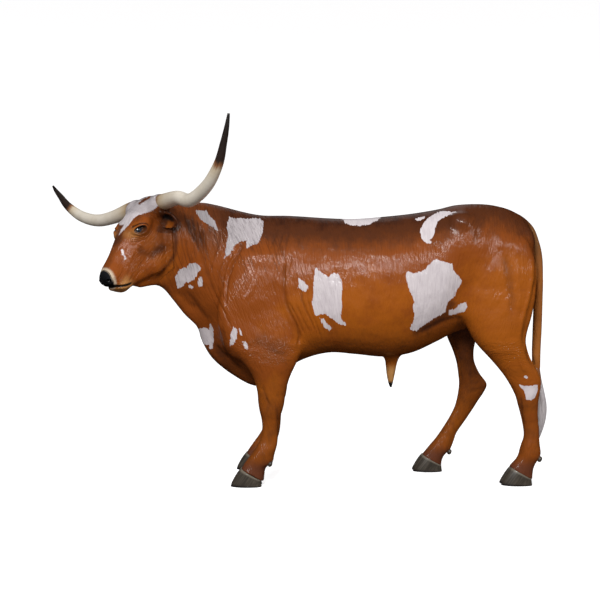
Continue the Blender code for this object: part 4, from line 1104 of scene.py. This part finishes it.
def body_shade(points, normals, in_skull, back, dark, sheath):
    """How dark the coat is painted on the body: its dark back, a darker brisket, and painted shade
    elsewhere.
    """
    x, y, z = points.T
    facing_down = ease(0.2, 0.9, -normals[:, 2])
    facing_inwards = ease(0.2, 0.8, normals[:, 1] * -np.sign(y))
    regions = {
        "back": back,
        "folds": dark,
        "belly": facing_down * ease(0.35, 0.55, z) * (1 - 0.7 * in_skull),
        "inner_legs": facing_inwards * ease(0.35, 0.75, z) * (np.abs(y) < 0.27) * (z < 1.0),
        "throat": facing_down * ease(-0.45, -0.6, x) * (z < 1.25) * (z > 0.9) * (1 - in_skull),
        "behind_ear": bump_at(np.hypot(x + 0.655, z - 1.375), 0.075) * (y < 0.1) * (1 - in_skull),
        "brisket": ease(-0.33, -0.42, x) * ease(0.86, 0.70, z) * (z > 0.4),
        "ears": near_ear(points),
        "lower_legs": ease(0.80, 0.40, z) * (1 - sheath),
    }
    shade = sum(BODY_TONES[name] * weight for name, weight in regions.items())
    sheet = on_sheet(points, True)
    for line, width, tone in SHADED:
        shade += tone * bump_at(from_line(sheet, line) * UNIT, width) * (y < 0)
    return shade


def face_shade(place, in_skull, around_eye):
    """How dark the coat is painted on the head: a darker brow and bridge, and painted shade by the eye and
    jaw.
    """
    n, side, d = place[:, 0], np.abs(place[:, 1]), place[:, 2]
    rim, upper = eye_rim(place)
    regions = {
        "brow": bump_at(from_line(place[:, [0, 2]], BROW_LINE), 0.024) * (1 - around_eye),
        "bridge": ease(0.055, 0.02, side) * ease(-0.01, 0.03, d) * ease(0.20, 0.26, n),
        "lid": bump_at(rim - 0.0105, 0.0025) * upper,
        "wrinkles": sum(bump_at(rim - ring, 0.0018) for ring in EYE_WRINKLES) * (1 - upper),
        "jaw": ease(0.26, 0.10, n) * ease(0.0, -0.09, d),
    }
    return in_skull * sum(FACE_TONES[name] * weight for name, weight in regions.items())


def comb_hair(points, place):
    """Coordinates that run with the hair: down the side, and along the head towards the nose."""
    x, y, z = points.T
    lean = np.interp(x, HAIR_X, HAIR_LEAN)
    body = np.column_stack([x - lean * (z - 1.1), y * (1 - 0.88 * ease(0.62, 0.78, z)), z])
    head = np.column_stack([place[:, 1], place[:, 2], -place[:, 0]]) + (0.4, 0.1, 0.3)
    share = ease(-0.02, 0.10, place[:, 0]) * (place[:, 2] > JAW_DEPTH - 0.005) * (x < -0.655)
    return body * (1 - share[:, None]) + head * share[:, None]


def paint(skin):
    """Sculpts the folds and the face, and gives the skin the fields that its material reads."""
    place, in_skull, dark, black = sculpt(skin)
    points, normals = points_of(skin), normals_of(skin)
    x, y, z = points.T
    n, side, d = place[:, 0], np.abs(place[:, 1]), place[:, 2]

    leather, pale, lips = muzzle_paint(place, in_skull)
    cups, ember = ear_paint(points, normals)
    back, flank = back_and_flank(points)
    sheath = (np.abs(x - 0.50) < 0.08) & (np.abs(y) < 0.06)
    tail = ease(1.20, 1.26, x) * ease(0.045, 0.030, np.abs(y)) * ease(0.56, 0.66, z)
    beside = in_skull * (side > 0.03)
    around_eye = beside * bump_at(from_eye(place) - 0.018, 0.026)
    by_eye = beside * bump_at(np.hypot(n - EYE_AT[0] - 0.034, d - EYE_AT[2] - 0.010), 0.024)

    shade = body_shade(points, normals, in_skull, back, dark, sheath)
    shade += face_shade(place, in_skull, around_eye)
    # The far hind leg is painted darker, as painted shade.
    far_leg = ease(0.35, 0.70, z) * ease(0.95, 0.75, z) * (y > 0) * (x > 0.6)
    shade = np.maximum(np.clip(shade, 0, 1), 0.50 * far_leg)
    skull = ease(-0.10, 0.05, n) * ease(JAW_DEPTH - 0.11, JAW_DEPTH, d) * ease(-0.55, -0.68, x)
    cheek = skull * ease(-0.02, -0.12, d)
    warm = 0.85 * flank * (1 - 0.8 * back) + 0.10 * skull + 0.45 * cheek + 0.9 * around_eye + ember
    tress = ease(0.10, -0.15, x) * ease(0.95, 1.25, z) * (1 - in_skull) + 0.35 * in_skull
    # Painted shade: the white patches of the neck and shoulder are painted greyer.
    shaded_white = 0.32 * ease(0.0, -0.15, x) + 0.50 * ease(-0.40, -0.50, x)
    tans = (sheath * ease(0.63, 0.58, z), 0.8 * lips, 0.65 * by_eye, 0.30 * tail)
    fields = {
        "white": white_depth(points, normals, place),
        "leather": leather,
        "pale": pale,
        "black": np.max((black, cups, sheath * ease(0.532, 0.512, z)), axis=0),
        "shade": shade * (1 - 0.8 * ember),
        "warm": np.clip(warm, 0, 1),
        "tress": np.clip(tress, 0, 1),
        "shaded_white": shaded_white * ease(1.05, 1.25, z) * (1 - in_skull),
        "rust": np.clip(ease(0.16, 0.09, z) + sheath * bump_at(z - 0.545, 0.026), 0, 1),
        "tan": np.max(tans, axis=0),
        "comb": comb_hair(points, place),
    }
    for name, values in fields.items():
        add_field(skin.data, name, values)


class Nodes:
    """Short calls that add nodes to one tree and link them."""

    def __init__(self, tree):
        self.tree = tree

    def feed(self, value, socket):
        if isinstance(value, bpy.types.NodeSocket):
            self.tree.links.new(value, socket)
        elif socket.type == "RGBA":
            socket.default_value = (*value, 1.0)
        else:
            socket.default_value = value

    def node(self, kind, inputs, **settings):
        made = self.tree.nodes.new(kind)
        for name, value in settings.items():
            setattr(made, name, value)
        for key, value in inputs.items():
            self.feed(value, made.inputs[key])
        return made

    def field(self, name, part="Fac"):
        return self.node("ShaderNodeAttribute", {}, attribute_name=name).outputs[part]

    def math(self, operation, first, second, third=0.0):
        return self.node("ShaderNodeMath", {0: first, 1: second, 2: third}, operation=operation).outputs[0]

    def spread(self, value, middle, gain, base):
        """The base, and over it gain times what the value has over its middle."""
        return self.math("MULTIPLY_ADD", self.math("SUBTRACT", value, middle), gain, base)

    def step(self, value, low, high):
        """From 0 at low to 1 at high, with soft ends; low may be the greater."""
        inputs = {"Value": value, 1: low, 2: high}
        return self.node("ShaderNodeMapRange", inputs, interpolation_type="SMOOTHSTEP").outputs["Result"]

    def noise(self, vector, scale, detail=2.0, rough=0.5, distortion=0.0):
        """Soft noise, drawn out where the scale differs between the axes."""
        if isinstance(scale, tuple):
            stretched = self.node("ShaderNodeVectorMath", {0: vector, 1: scale}, operation="MULTIPLY")
            vector = stretched.outputs[0]
            scale = 1.0
        inputs = {"Vector": vector, "Scale": scale, "Detail": detail, "Roughness": rough}
        return self.node("ShaderNodeTexNoise", inputs | {"Distortion": distortion}).outputs["Fac"]

    def mix(self, share, first, second, blend="MIX"):
        inputs = {0: share, 6: first, 7: second}
        return self.node("ShaderNodeMix", inputs, data_type="RGBA", blend_type=blend).outputs[2]


class Paint(Nodes):
    """The nodes of one painted finish, which lead to its shader."""

    def __init__(self, name, roughness, coat=0.0, coat_roughness=0.1, specular=0.5):
        self.material = bpy.data.materials.new(name)
        self.material.use_nodes = True
        super().__init__(self.material.node_tree)
        self.set("Roughness", roughness)
        self.set("Coat Weight", coat)
        self.set("Coat Roughness", coat_roughness)
        self.set("Specular IOR Level", specular)

    def set(self, name, value):
        self.feed(value, self.tree.nodes["Principled BSDF"].inputs[name])

    def bump(self, height, strength, distance, sockets=("Normal",)):
        inputs = {"Strength": strength, "Distance": distance, "Height": height}
        made = self.node("ShaderNodeBump", inputs)
        for name in sockets:
            self.set(name, made.outputs["Normal"])


CHESTNUT, ORANGE = (0.245, 0.058, 0.008), (0.345, 0.089, 0.007)
DARK, DEEP, BLACK = (0.085, 0.024, 0.008), (0.020, 0.006, 0.004), (0.010, 0.008, 0.008)
WHITE, WHITE_SHADE, WHITE_LINE = (0.63, 0.57, 0.585), (0.57, 0.51, 0.53), (0.34, 0.29, 0.30)
LEATHER, PALE = (0.012, 0.012, 0.014), (0.56, 0.44, 0.32)
# WHITE_IN_SHADE is the grey of the white patches under painted shade on the neck and shoulder.
RUST, TAN, WHITE_IN_SHADE = (0.130, 0.040, 0.018), (0.46, 0.22, 0.07), (0.24, 0.22, 0.225)
# Horn, from its root to its tip: share of its length, colour.
HORN_STOPS = (
    (0.000, (0.16, 0.070, 0.025)),
    (0.085, (0.22, 0.110, 0.045)),
    (0.118, (0.50, 0.38, 0.24)),
    (0.180, (0.64, 0.55, 0.43)),
    (0.290, (0.76, 0.69, 0.59)),
    (0.640, (0.74, 0.68, 0.58)),
    (0.715, (0.62, 0.52, 0.38)),
    (0.742, (0.26, 0.110, 0.045)),
    (0.765, (0.030, 0.018, 0.014)),
    (1.000, (0.014, 0.012, 0.011)),
)
HORN_CLOUD = (0.86, 0.84, 0.80)
HOOF_DARK, HOOF_LIGHT = (0.042, 0.034, 0.026), (0.090, 0.074, 0.056)
HOOF_TOP, HOOF_SOLE = (0.17, 0.145, 0.11), (0.012, 0.010, 0.010)
# IRIS_GLINT is the bluish painted highlight over the iris.
PUPIL, IRIS, IRIS_GLINT = (0.002, 0.002, 0.003), (0.004, 0.006, 0.011), (0.06, 0.09, 0.14)
EYE_RING, EYE_WHITE = (0.020, 0.016, 0.016), (0.05, 0.045, 0.045)
HAIR_DARK, HAIR_LIGHT, HAIR_ROOT = (0.42, 0.38, 0.385), (0.74, 0.69, 0.70), (0.24, 0.08, 0.02)
FLOOR_PAINT, SKY_LOW, SKY_HIGH = (0.90, 0.90, 0.91), (0.27, 0.25, 0.24), (1.0, 1.0, 1.0)


def hide_material():
    hide = Paint("hide_paint", 0.42, 0.34, 0.09, 0.10)
    comb, tress = hide.field("comb", "Vector"), hide.field("tress")
    strands = hide.noise(comb, (190, 190, 24), 3.0, 0.6, 0.25)
    locks = hide.noise(comb, (75, 75, 14), 2.0, 0.5, 0.4)
    clouds = hide.noise(comb, 5.0, 4.0, 0.6)
    blotches = hide.noise(comb, 16.0, 4.0, 0.65)
    warm = hide.spread(clouds, 0.55, 2.0, hide.field("warm"))
    warm = hide.spread(blotches, 0.52, 1.4, warm)
    shade = hide.spread(blotches, 0.45, 0.62, hide.field("shade"))
    shade = hide.spread(strands, 0.5, 0.30, shade)
    colour = hide.mix(hide.step(warm, 0.0, 1.0), CHESTNUT, ORANGE)
    # Darker towards DARK and DEEP by the shade field: the coat's dark back, and painted shade.
    colour = hide.mix(hide.step(shade, 0.05, 0.75), colour, DARK)
    colour = hide.mix(hide.step(shade, 0.75, 1.25), colour, DEEP)
    for name, tone in (("rust", RUST), ("tan", TAN), ("pale", PALE)):
        colour = hide.mix(hide.field(name), colour, tone)
    # Painted shade in the grooves of the long hair of neck and shoulder.
    waves = hide.noise(comb, (115, 115, 9), 2.0, 0.55, 0.6)
    groove = hide.math("MULTIPLY", hide.step(waves, 0.50, 0.32), tress)
    colour = hide.mix(hide.math("MULTIPLY", groove, 0.55), colour, DARK)
    # White paint, laid over the hair in strokes, with WHITE_SHADE as painted shade where the locks lie low,
    # and greyer on the neck and shoulder as painted shade.
    tufts = hide.math("ADD", hide.math("SUBTRACT", strands, 0.5), hide.math("SUBTRACT", locks, 0.5))
    ragged = hide.math("MULTIPLY_ADD", tufts, 0.017, hide.field("white"))
    fine = hide.noise(comb, (260, 260, 16), 2.0, 0.5, 0.2)
    white = hide.mix(hide.step(locks, 0.30, 0.60), WHITE_SHADE, WHITE)
    in_tress = hide.math("MULTIPLY_ADD", tress, 0.8, 0.2)
    white = hide.mix(hide.math("MULTIPLY", hide.step(fine, 0.50, 0.34), in_tress), white, WHITE_LINE)
    white = hide.mix(hide.field("shaded_white"), white, WHITE_IN_SHADE)
    colour = hide.mix(hide.step(ragged, -0.0006, 0.0008), colour, white)
    leather = hide.field("leather")
    colour = hide.mix(hide.step(leather, -0.001, 0.002), colour, LEATHER)
    hide.set("Base Color", hide.mix(hide.field("black"), colour, BLACK))
    # Moulded hair, dents and undulations, and none of them on the leather of the nose.
    height = hide.math("MULTIPLY_ADD", strands, 0.6, locks)
    height = hide.math("SUBTRACT", height, hide.math("MULTIPLY", groove, 0.5))
    height = hide.math("MULTIPLY_ADD", hide.noise(comb, 34.0, 3.0, 0.6), 0.5, height)
    height = hide.math("MULTIPLY_ADD", hide.noise(comb, 11.0, 1.0, 0.4), 2.5, height)
    hairy = hide.math("SUBTRACT", 1.0, hide.step(leather, -0.003, 0.0))
    hide.bump(hide.math("MULTIPLY", height, hairy), 1.0, 0.0036, ("Normal", "Coat Normal"))
    hide.set("Roughness", hide.math("MULTIPLY_ADD", blotches, 0.24, 0.26))
    return hide.material


def horn_material():
    finish = Paint("horn_paint", 0.34, 0.25, 0.18)
    grain = finish.field("grain", "Vector")
    streaks = finish.noise(grain, (60, 60, 3), 3.0, 0.6)
    rings = finish.noise(grain, (3, 3, 90), 2.0, 0.5)
    clouds = finish.noise(grain, 9.0, 3.0, 0.6)
    place = finish.spread(streaks, 0.5, 0.05, finish.field("share"))
    ramp = finish.node("ShaderNodeValToRGB", {"Fac": place})
    for share, _ in HORN_STOPS[1:-1]:
        ramp.color_ramp.elements.new(share)
    for element, (share, tone) in zip(ramp.color_ramp.elements, HORN_STOPS):
        element.position, element.color = share, (*tone, 1.0)
    colour = finish.mix(finish.step(clouds, 0.35, 0.75), ramp.outputs[0], HORN_CLOUD, "MULTIPLY")
    finish.set("Base Color", colour)
    finish.bump(finish.math("MULTIPLY_ADD", streaks, 0.6, rings), 0.6, 0.0012)
    finish.set("Roughness", finish.math("MULTIPLY_ADD", clouds, 0.2, 0.26))
    return finish.material


def hoof_material():
    finish = Paint("hoof_paint", 0.30, 0.4, 0.15)
    grain, share = finish.field("grain", "Vector"), finish.field("share")
    streaks = finish.noise(grain, (160, 160, 10), 3.0, 0.6)
    rings = finish.noise(grain, (8, 8, 110), 2.0, 0.5)
    colour = finish.mix(finish.step(streaks, 0.35, 0.70), HOOF_DARK, HOOF_LIGHT)
    colour = finish.mix(finish.step(share, 0.80, 0.94), colour, HOOF_TOP)
    colour = finish.mix(finish.step(share, 0.20, 0.0), colour, HOOF_SOLE)
    finish.set("Base Color", colour)
    finish.bump(finish.math("MULTIPLY_ADD", rings, 0.5, streaks), 0.6, 0.0006)
    finish.set("Roughness", finish.math("MULTIPLY_ADD", streaks, 0.2, 0.24))
    return finish.material


def eye_material():
    finish = Paint("eye_paint", 0.08, 1.0, 0.02)
    ring = finish.field("ring")
    # Bluish glints over the iris: painted highlights.
    glints = finish.noise(finish.field("grain", "Vector"), 260.0, 3.0, 0.6)
    iris = finish.mix(finish.step(glints, 0.40, 0.66), IRIS, IRIS_GLINT)
    colour = finish.mix(finish.step(ring, 0.40, 0.46), PUPIL, iris)
    colour = finish.mix(finish.step(ring, 0.78, 0.90), colour, EYE_RING)
    finish.set("Base Color", finish.mix(finish.step(ring, 1.10, 1.30), colour, EYE_WHITE))
    return finish.material


def hair_material():
    finish = Paint("switch_paint", 0.45, 0.2, 0.25)
    strands = finish.noise(finish.field("grain", "Vector"), (260, 260, 8), 3.0, 0.6)
    colour = finish.mix(finish.step(strands, 0.30, 0.65), HAIR_DARK, HAIR_LIGHT)
    finish.set("Base Color", finish.mix(finish.step(finish.field("share"), 0.22, 0.12), colour, HAIR_ROOT))
    finish.bump(strands, 0.9, 0.002)
    return finish.material


def finish_piece(obj, material, slot, *nodes):
    obj.data.materials.clear()
    obj.data.materials.append(material)
    obj.data.transform(Matrix.Translation(ORIGIN))
    obj.data.shade_smooth()
    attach(obj, "root")
    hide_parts(*nodes)


def horn(side, name, material):
    rows = smooth_rows(HORN, 150)
    centres = [
        HEAD_AT + AHEAD * ahead + LEFT * side * aside + HEAD_UP * (up + side * lift)
        for ahead, aside, up, _, lift in rows
    ]
    steps = np.linalg.norm(np.diff(np.array(centres), axis=0), axis=1)
    run = np.append(0, np.cumsum(steps))
    share = run / run[-1]
    ridges = 1 + RIDGE_HEIGHT * np.sin(run * 2 * np.pi / RIDGE_STEP) * np.exp(-share / RIDGES_FADE)
    radii = rows[:, 3] * HORN_ROOT_RADIUS * ridges
    made = loft(f"horn_{name}_painted", curve_rings(centres, radii, AHEAD, HORN_SIDES))
    grain = [(0.04 * np.cos(t), 0.04 * np.sin(t), r) for r in run for t in full_turn(HORN_SIDES)]
    add_field(made.data, "share", np.append(np.repeat(share, HORN_SIDES), [0.0, 1.0]))
    add_field(made.data, "grain", np.array(grain + [(0, 0, 0), (0, 0, run[-1])]))
    finish_piece(made, material, "horn", f"horn_{name}")


def eye(side, name, material):
    """A glossy ball with a wide, flat pupil and a slight bulge over the iris."""
    centre = on_head(EYE_AT[0], EYE_AT[1] * side, EYE_AT[2])
    made = ball(f"eye_{name}_glass", centre, (EYE_RADIUS,) * 3, HEAD_TURN, 64, 48)
    points = points_of(made) - np.array(centre)
    gaze = np.array((NOSE * GAZE[0] + LEFT * side * GAZE[1] + FACE * GAZE[2]).normalized())
    level = np.array(NOSE) - gaze * (np.array(NOSE) @ gaze)
    level /= np.linalg.norm(level)
    ahead, wide, tall = ((points / EYE_RADIUS) @ way for way in (gaze, level, np.cross(gaze, level)))
    away = np.hypot(wide, tall)
    ring = np.hypot(wide, tall * (1.0 + 0.9 * bump_at(away, 0.45))) / IRIS_SHARE
    bulge = EYE_BULGE * np.clip(1 - (away / IRIS_SHARE) ** 2, 0, 1) * (ahead > 0)
    put_points(made, points * (1 + bulge / EYE_RADIUS)[:, None] + np.array(centre))
    add_field(made.data, "ring", np.where(ahead > 0, ring, 2.0))
    add_field(made.data, "grain", points)
    finish_piece(made, material, "eye", f"eye_{name}")


def claw(foot, toe_x, y, side, name, material):
    """One half of a cloven hoof with a rounded lower edge."""
    turns = full_turn(CLAW_SIDES)
    along, across = -np.cos(turns), np.sin(turns)
    along = np.sign(along) * np.abs(along) ** 0.85
    across = np.where(across > 0, np.abs(across) ** 0.8, -np.abs(across) ** 0.45)
    narrowed = np.where(along < 0, 1 - 0.25 * along**2, 1)
    shares = np.linspace(0, 1, CLAW_LEVELS)
    rings = []
    for share in shares:
        round_off = CLAW_ROUNDING * (1 - ease(0, 0.05, share))
        front = CORONET_FRONT[0] * share + round_off
        rear = HOOF_LENGTH + (CORONET_REAR[0] - HOOF_LENGTH) * share - round_off
        width = CLAW_WIDTH * (1.0 - 0.10 * share) - round_off * 0.5
        u = (front + rear) / 2 + along * (rear - front) / 2
        v = CLEFT / 2 + (across + 1) / 2 * width * narrowed
        top = CORONET_FRONT[1] - (u - CORONET_FRONT[0]) * np.tan(coronet_slope()) - CLAW_GAP
        rings.append([(toe_x + a, y + side * b, share * z) for a, b, z in zip(u, v, top)])
    made = loft(f"claw_{foot}_{name}_painted", rings)
    flat = points_of(made)
    add_field(made.data, "share", np.append(np.repeat(shares, CLAW_SIDES), [0.0, 1.0]))
    add_field(made.data, "grain", np.column_stack([flat[:, 0] - 0.7 * flat[:, 2], flat[:, 1], flat[:, 2]]))
    finish_piece(made, material, "hoof", f"claw_{foot}_{name}")


def dewclaw(foot, x, y, z, name, material):
    turn = Matrix.Rotation(DEWCLAW_TILT, 3, "Y")
    made = ball(f"dewclaw_{foot}_{name}_painted", (x, y, z), DEWCLAW_RADII, turn, 32, 24)
    points = points_of(made)
    points[:, 0] += 0.002 * ease(0.0, 0.021, z - points[:, 2])
    put_points(made, points)
    add_field(made.data, "share", np.full(len(points), 0.5))
    add_field(made.data, "grain", points)
    finish_piece(made, material, "hoof", f"dewclaw_{foot}_{name}")


def switch(material):
    """A brush of tapered locks that wind round one another."""
    rows = smooth_rows(SWITCH, 60)
    share = np.linspace(0, 1, len(rows))
    shape = bmesh.new()
    shares = []
    rng = np.random.default_rng(7)
    for lock in range(LOCKS):
        core = lock >= LOCKS - CORE_LOCKS
        start = 2 * np.pi * lock / (LOCKS - CORE_LOCKS) + rng.uniform(-0.1, 0.1)
        out = (0.25 if core else 0.66) + rng.uniform(-0.05, 0.05)
        last = rng.uniform(0.93 if core else 0.84, 1.0)
        twist = 0.5 + rng.uniform(-0.35, 0.35)
        wave = rng.uniform(0, 6.28)
        rings = []
        for t in np.linspace(0, last, 44):
            z, x, radius = (np.interp(t, share, rows[:, i]) for i in range(3))
            angle = start + twist * t + 0.12 * np.sin(7 * t + wave)
            outward = np.array((np.cos(angle), np.sin(angle), 0))
            sideways = np.array((-np.sin(angle), np.cos(angle), 0))
            thick = radius * 0.36 * (1 - 0.75 * (t / last) ** 5)
            middle = np.array((x, 0, z)) + outward * radius * out * (1 - 0.35 * (t / last) ** 6)
            wide, deep = sideways * thick * 1.05, outward * thick * 0.85
            rings.append([middle + wide * np.cos(a) + deep * np.sin(a) for a in full_turn(LOCK_SIDES)])
            shares += [t] * LOCK_SIDES
        take_in(shape, loft("lock", rings))
        shares += [0.0, last]
    made = object_from(shape, "tail_switch_hair")
    add_field(made.data, "share", np.array(shares))
    add_field(made.data, "grain", points_of(made))
    finish_piece(made, material, "hair", "tail_switch")


def lay_floor():
    """A pale floor that curves up far away."""
    shape = bmesh.new()
    loops = [
        [shape.verts.new((radius * np.cos(t), radius * np.sin(t), height)) for t in full_turn(FLOOR_SIDES)]
        for radius, height in FLOOR
    ]
    middle = shape.verts.new((0, 0, 0))
    for i in range(FLOOR_SIDES):
        j = (i + 1) % FLOOR_SIDES
        shape.faces.new((middle, loops[0][i], loops[0][j]))
        for first, second in zip(loops, loops[1:]):
            shape.faces.new((first[i], second[i], second[j], first[j]))
    floor = object_from(shape, "floor")
    floor.data.shade_smooth()
    finish = Paint("pale_floor", 0.9, specular=0.0)
    finish.set("Base Color", FLOOR_PAINT)
    finish.set("Emission Color", (1.0, 1.0, 1.0))
    finish.set("Emission Strength", 0.55)
    floor.data.materials.append(finish.material)
    floor.visible_glossy = False
    floor.visible_diffuse = False


def light_studio():
    """A soft sky that is brighter above, and three soft lights."""
    world = bpy.data.worlds.new("studio")
    world.use_nodes = True
    sky = Nodes(world.node_tree)
    direction = sky.node("ShaderNodeTexCoord", {}).outputs["Generated"]
    height = sky.node("ShaderNodeSeparateXYZ", {0: direction}).outputs["Z"]
    background = world.node_tree.nodes["Background"]
    sky.feed(sky.mix(sky.step(height, -0.15, 0.55), SKY_LOW, SKY_HIGH), background.inputs["Color"])
    background.inputs["Strength"].default_value = 0.70
    world.cycles_visibility.glossy = False
    bpy.context.scene.world = world
    bpy.context.scene.view_settings.view_transform = "Standard"
    for name, place, size, power in LIGHTS:
        light = bpy.data.lights.new(name, "AREA")
        light.size, light.energy = size, power
        lamp = new_object(name, light)
        lamp.location = place
        lamp.rotation_euler = (Vector(LIT_POINT) - Vector(place)).to_track_quat("-Z", "Y").to_euler()


def set_camera():
    lens = bpy.data.cameras.new("camera")
    lens.lens, lens.sensor_width, lens.clip_end = LENS, 36.0, 100
    camera = new_object("camera", lens)
    camera.location = Vector(EYE_POINT) + ORIGIN
    camera.rotation_euler = (np.radians(90 - SHEET_TILT), 0, 0)
    bpy.context.scene.camera = camera


def main():
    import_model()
    skin = build_skin()
    paint(skin)
    finish_piece(
        skin, hide_material(), "hide", "torso", "neck", "head", "foreleg_left", "foreleg_right",
        "hind_leg_left", "hind_leg_right", "ear_left", "ear_right", "tail", "sheath",
    )
    horns, eyes, hoofs = horn_material(), eye_material(), hoof_material()
    for side, name in ((1, "left"), (-1, "right")):
        horn(side, name, horns)
        eye(side, name, eyes)
    for foot, (toe_x, y) in FEET.items():
        dewclaw_x, dewclaw_z = DEWCLAWS[foot]
        for name, sign in (("inner", -1), ("outer", 1)):
            away = sign * (1 if y > 0 else -1)
            claw(foot, toe_x, y, away, name, hoofs)
            dewclaw(foot, dewclaw_x, y + away * DEWCLAW_ASIDE, dewclaw_z, name, hoofs)
    switch(hair_material())
    lay_floor()
    light_studio()
    set_camera()


main()
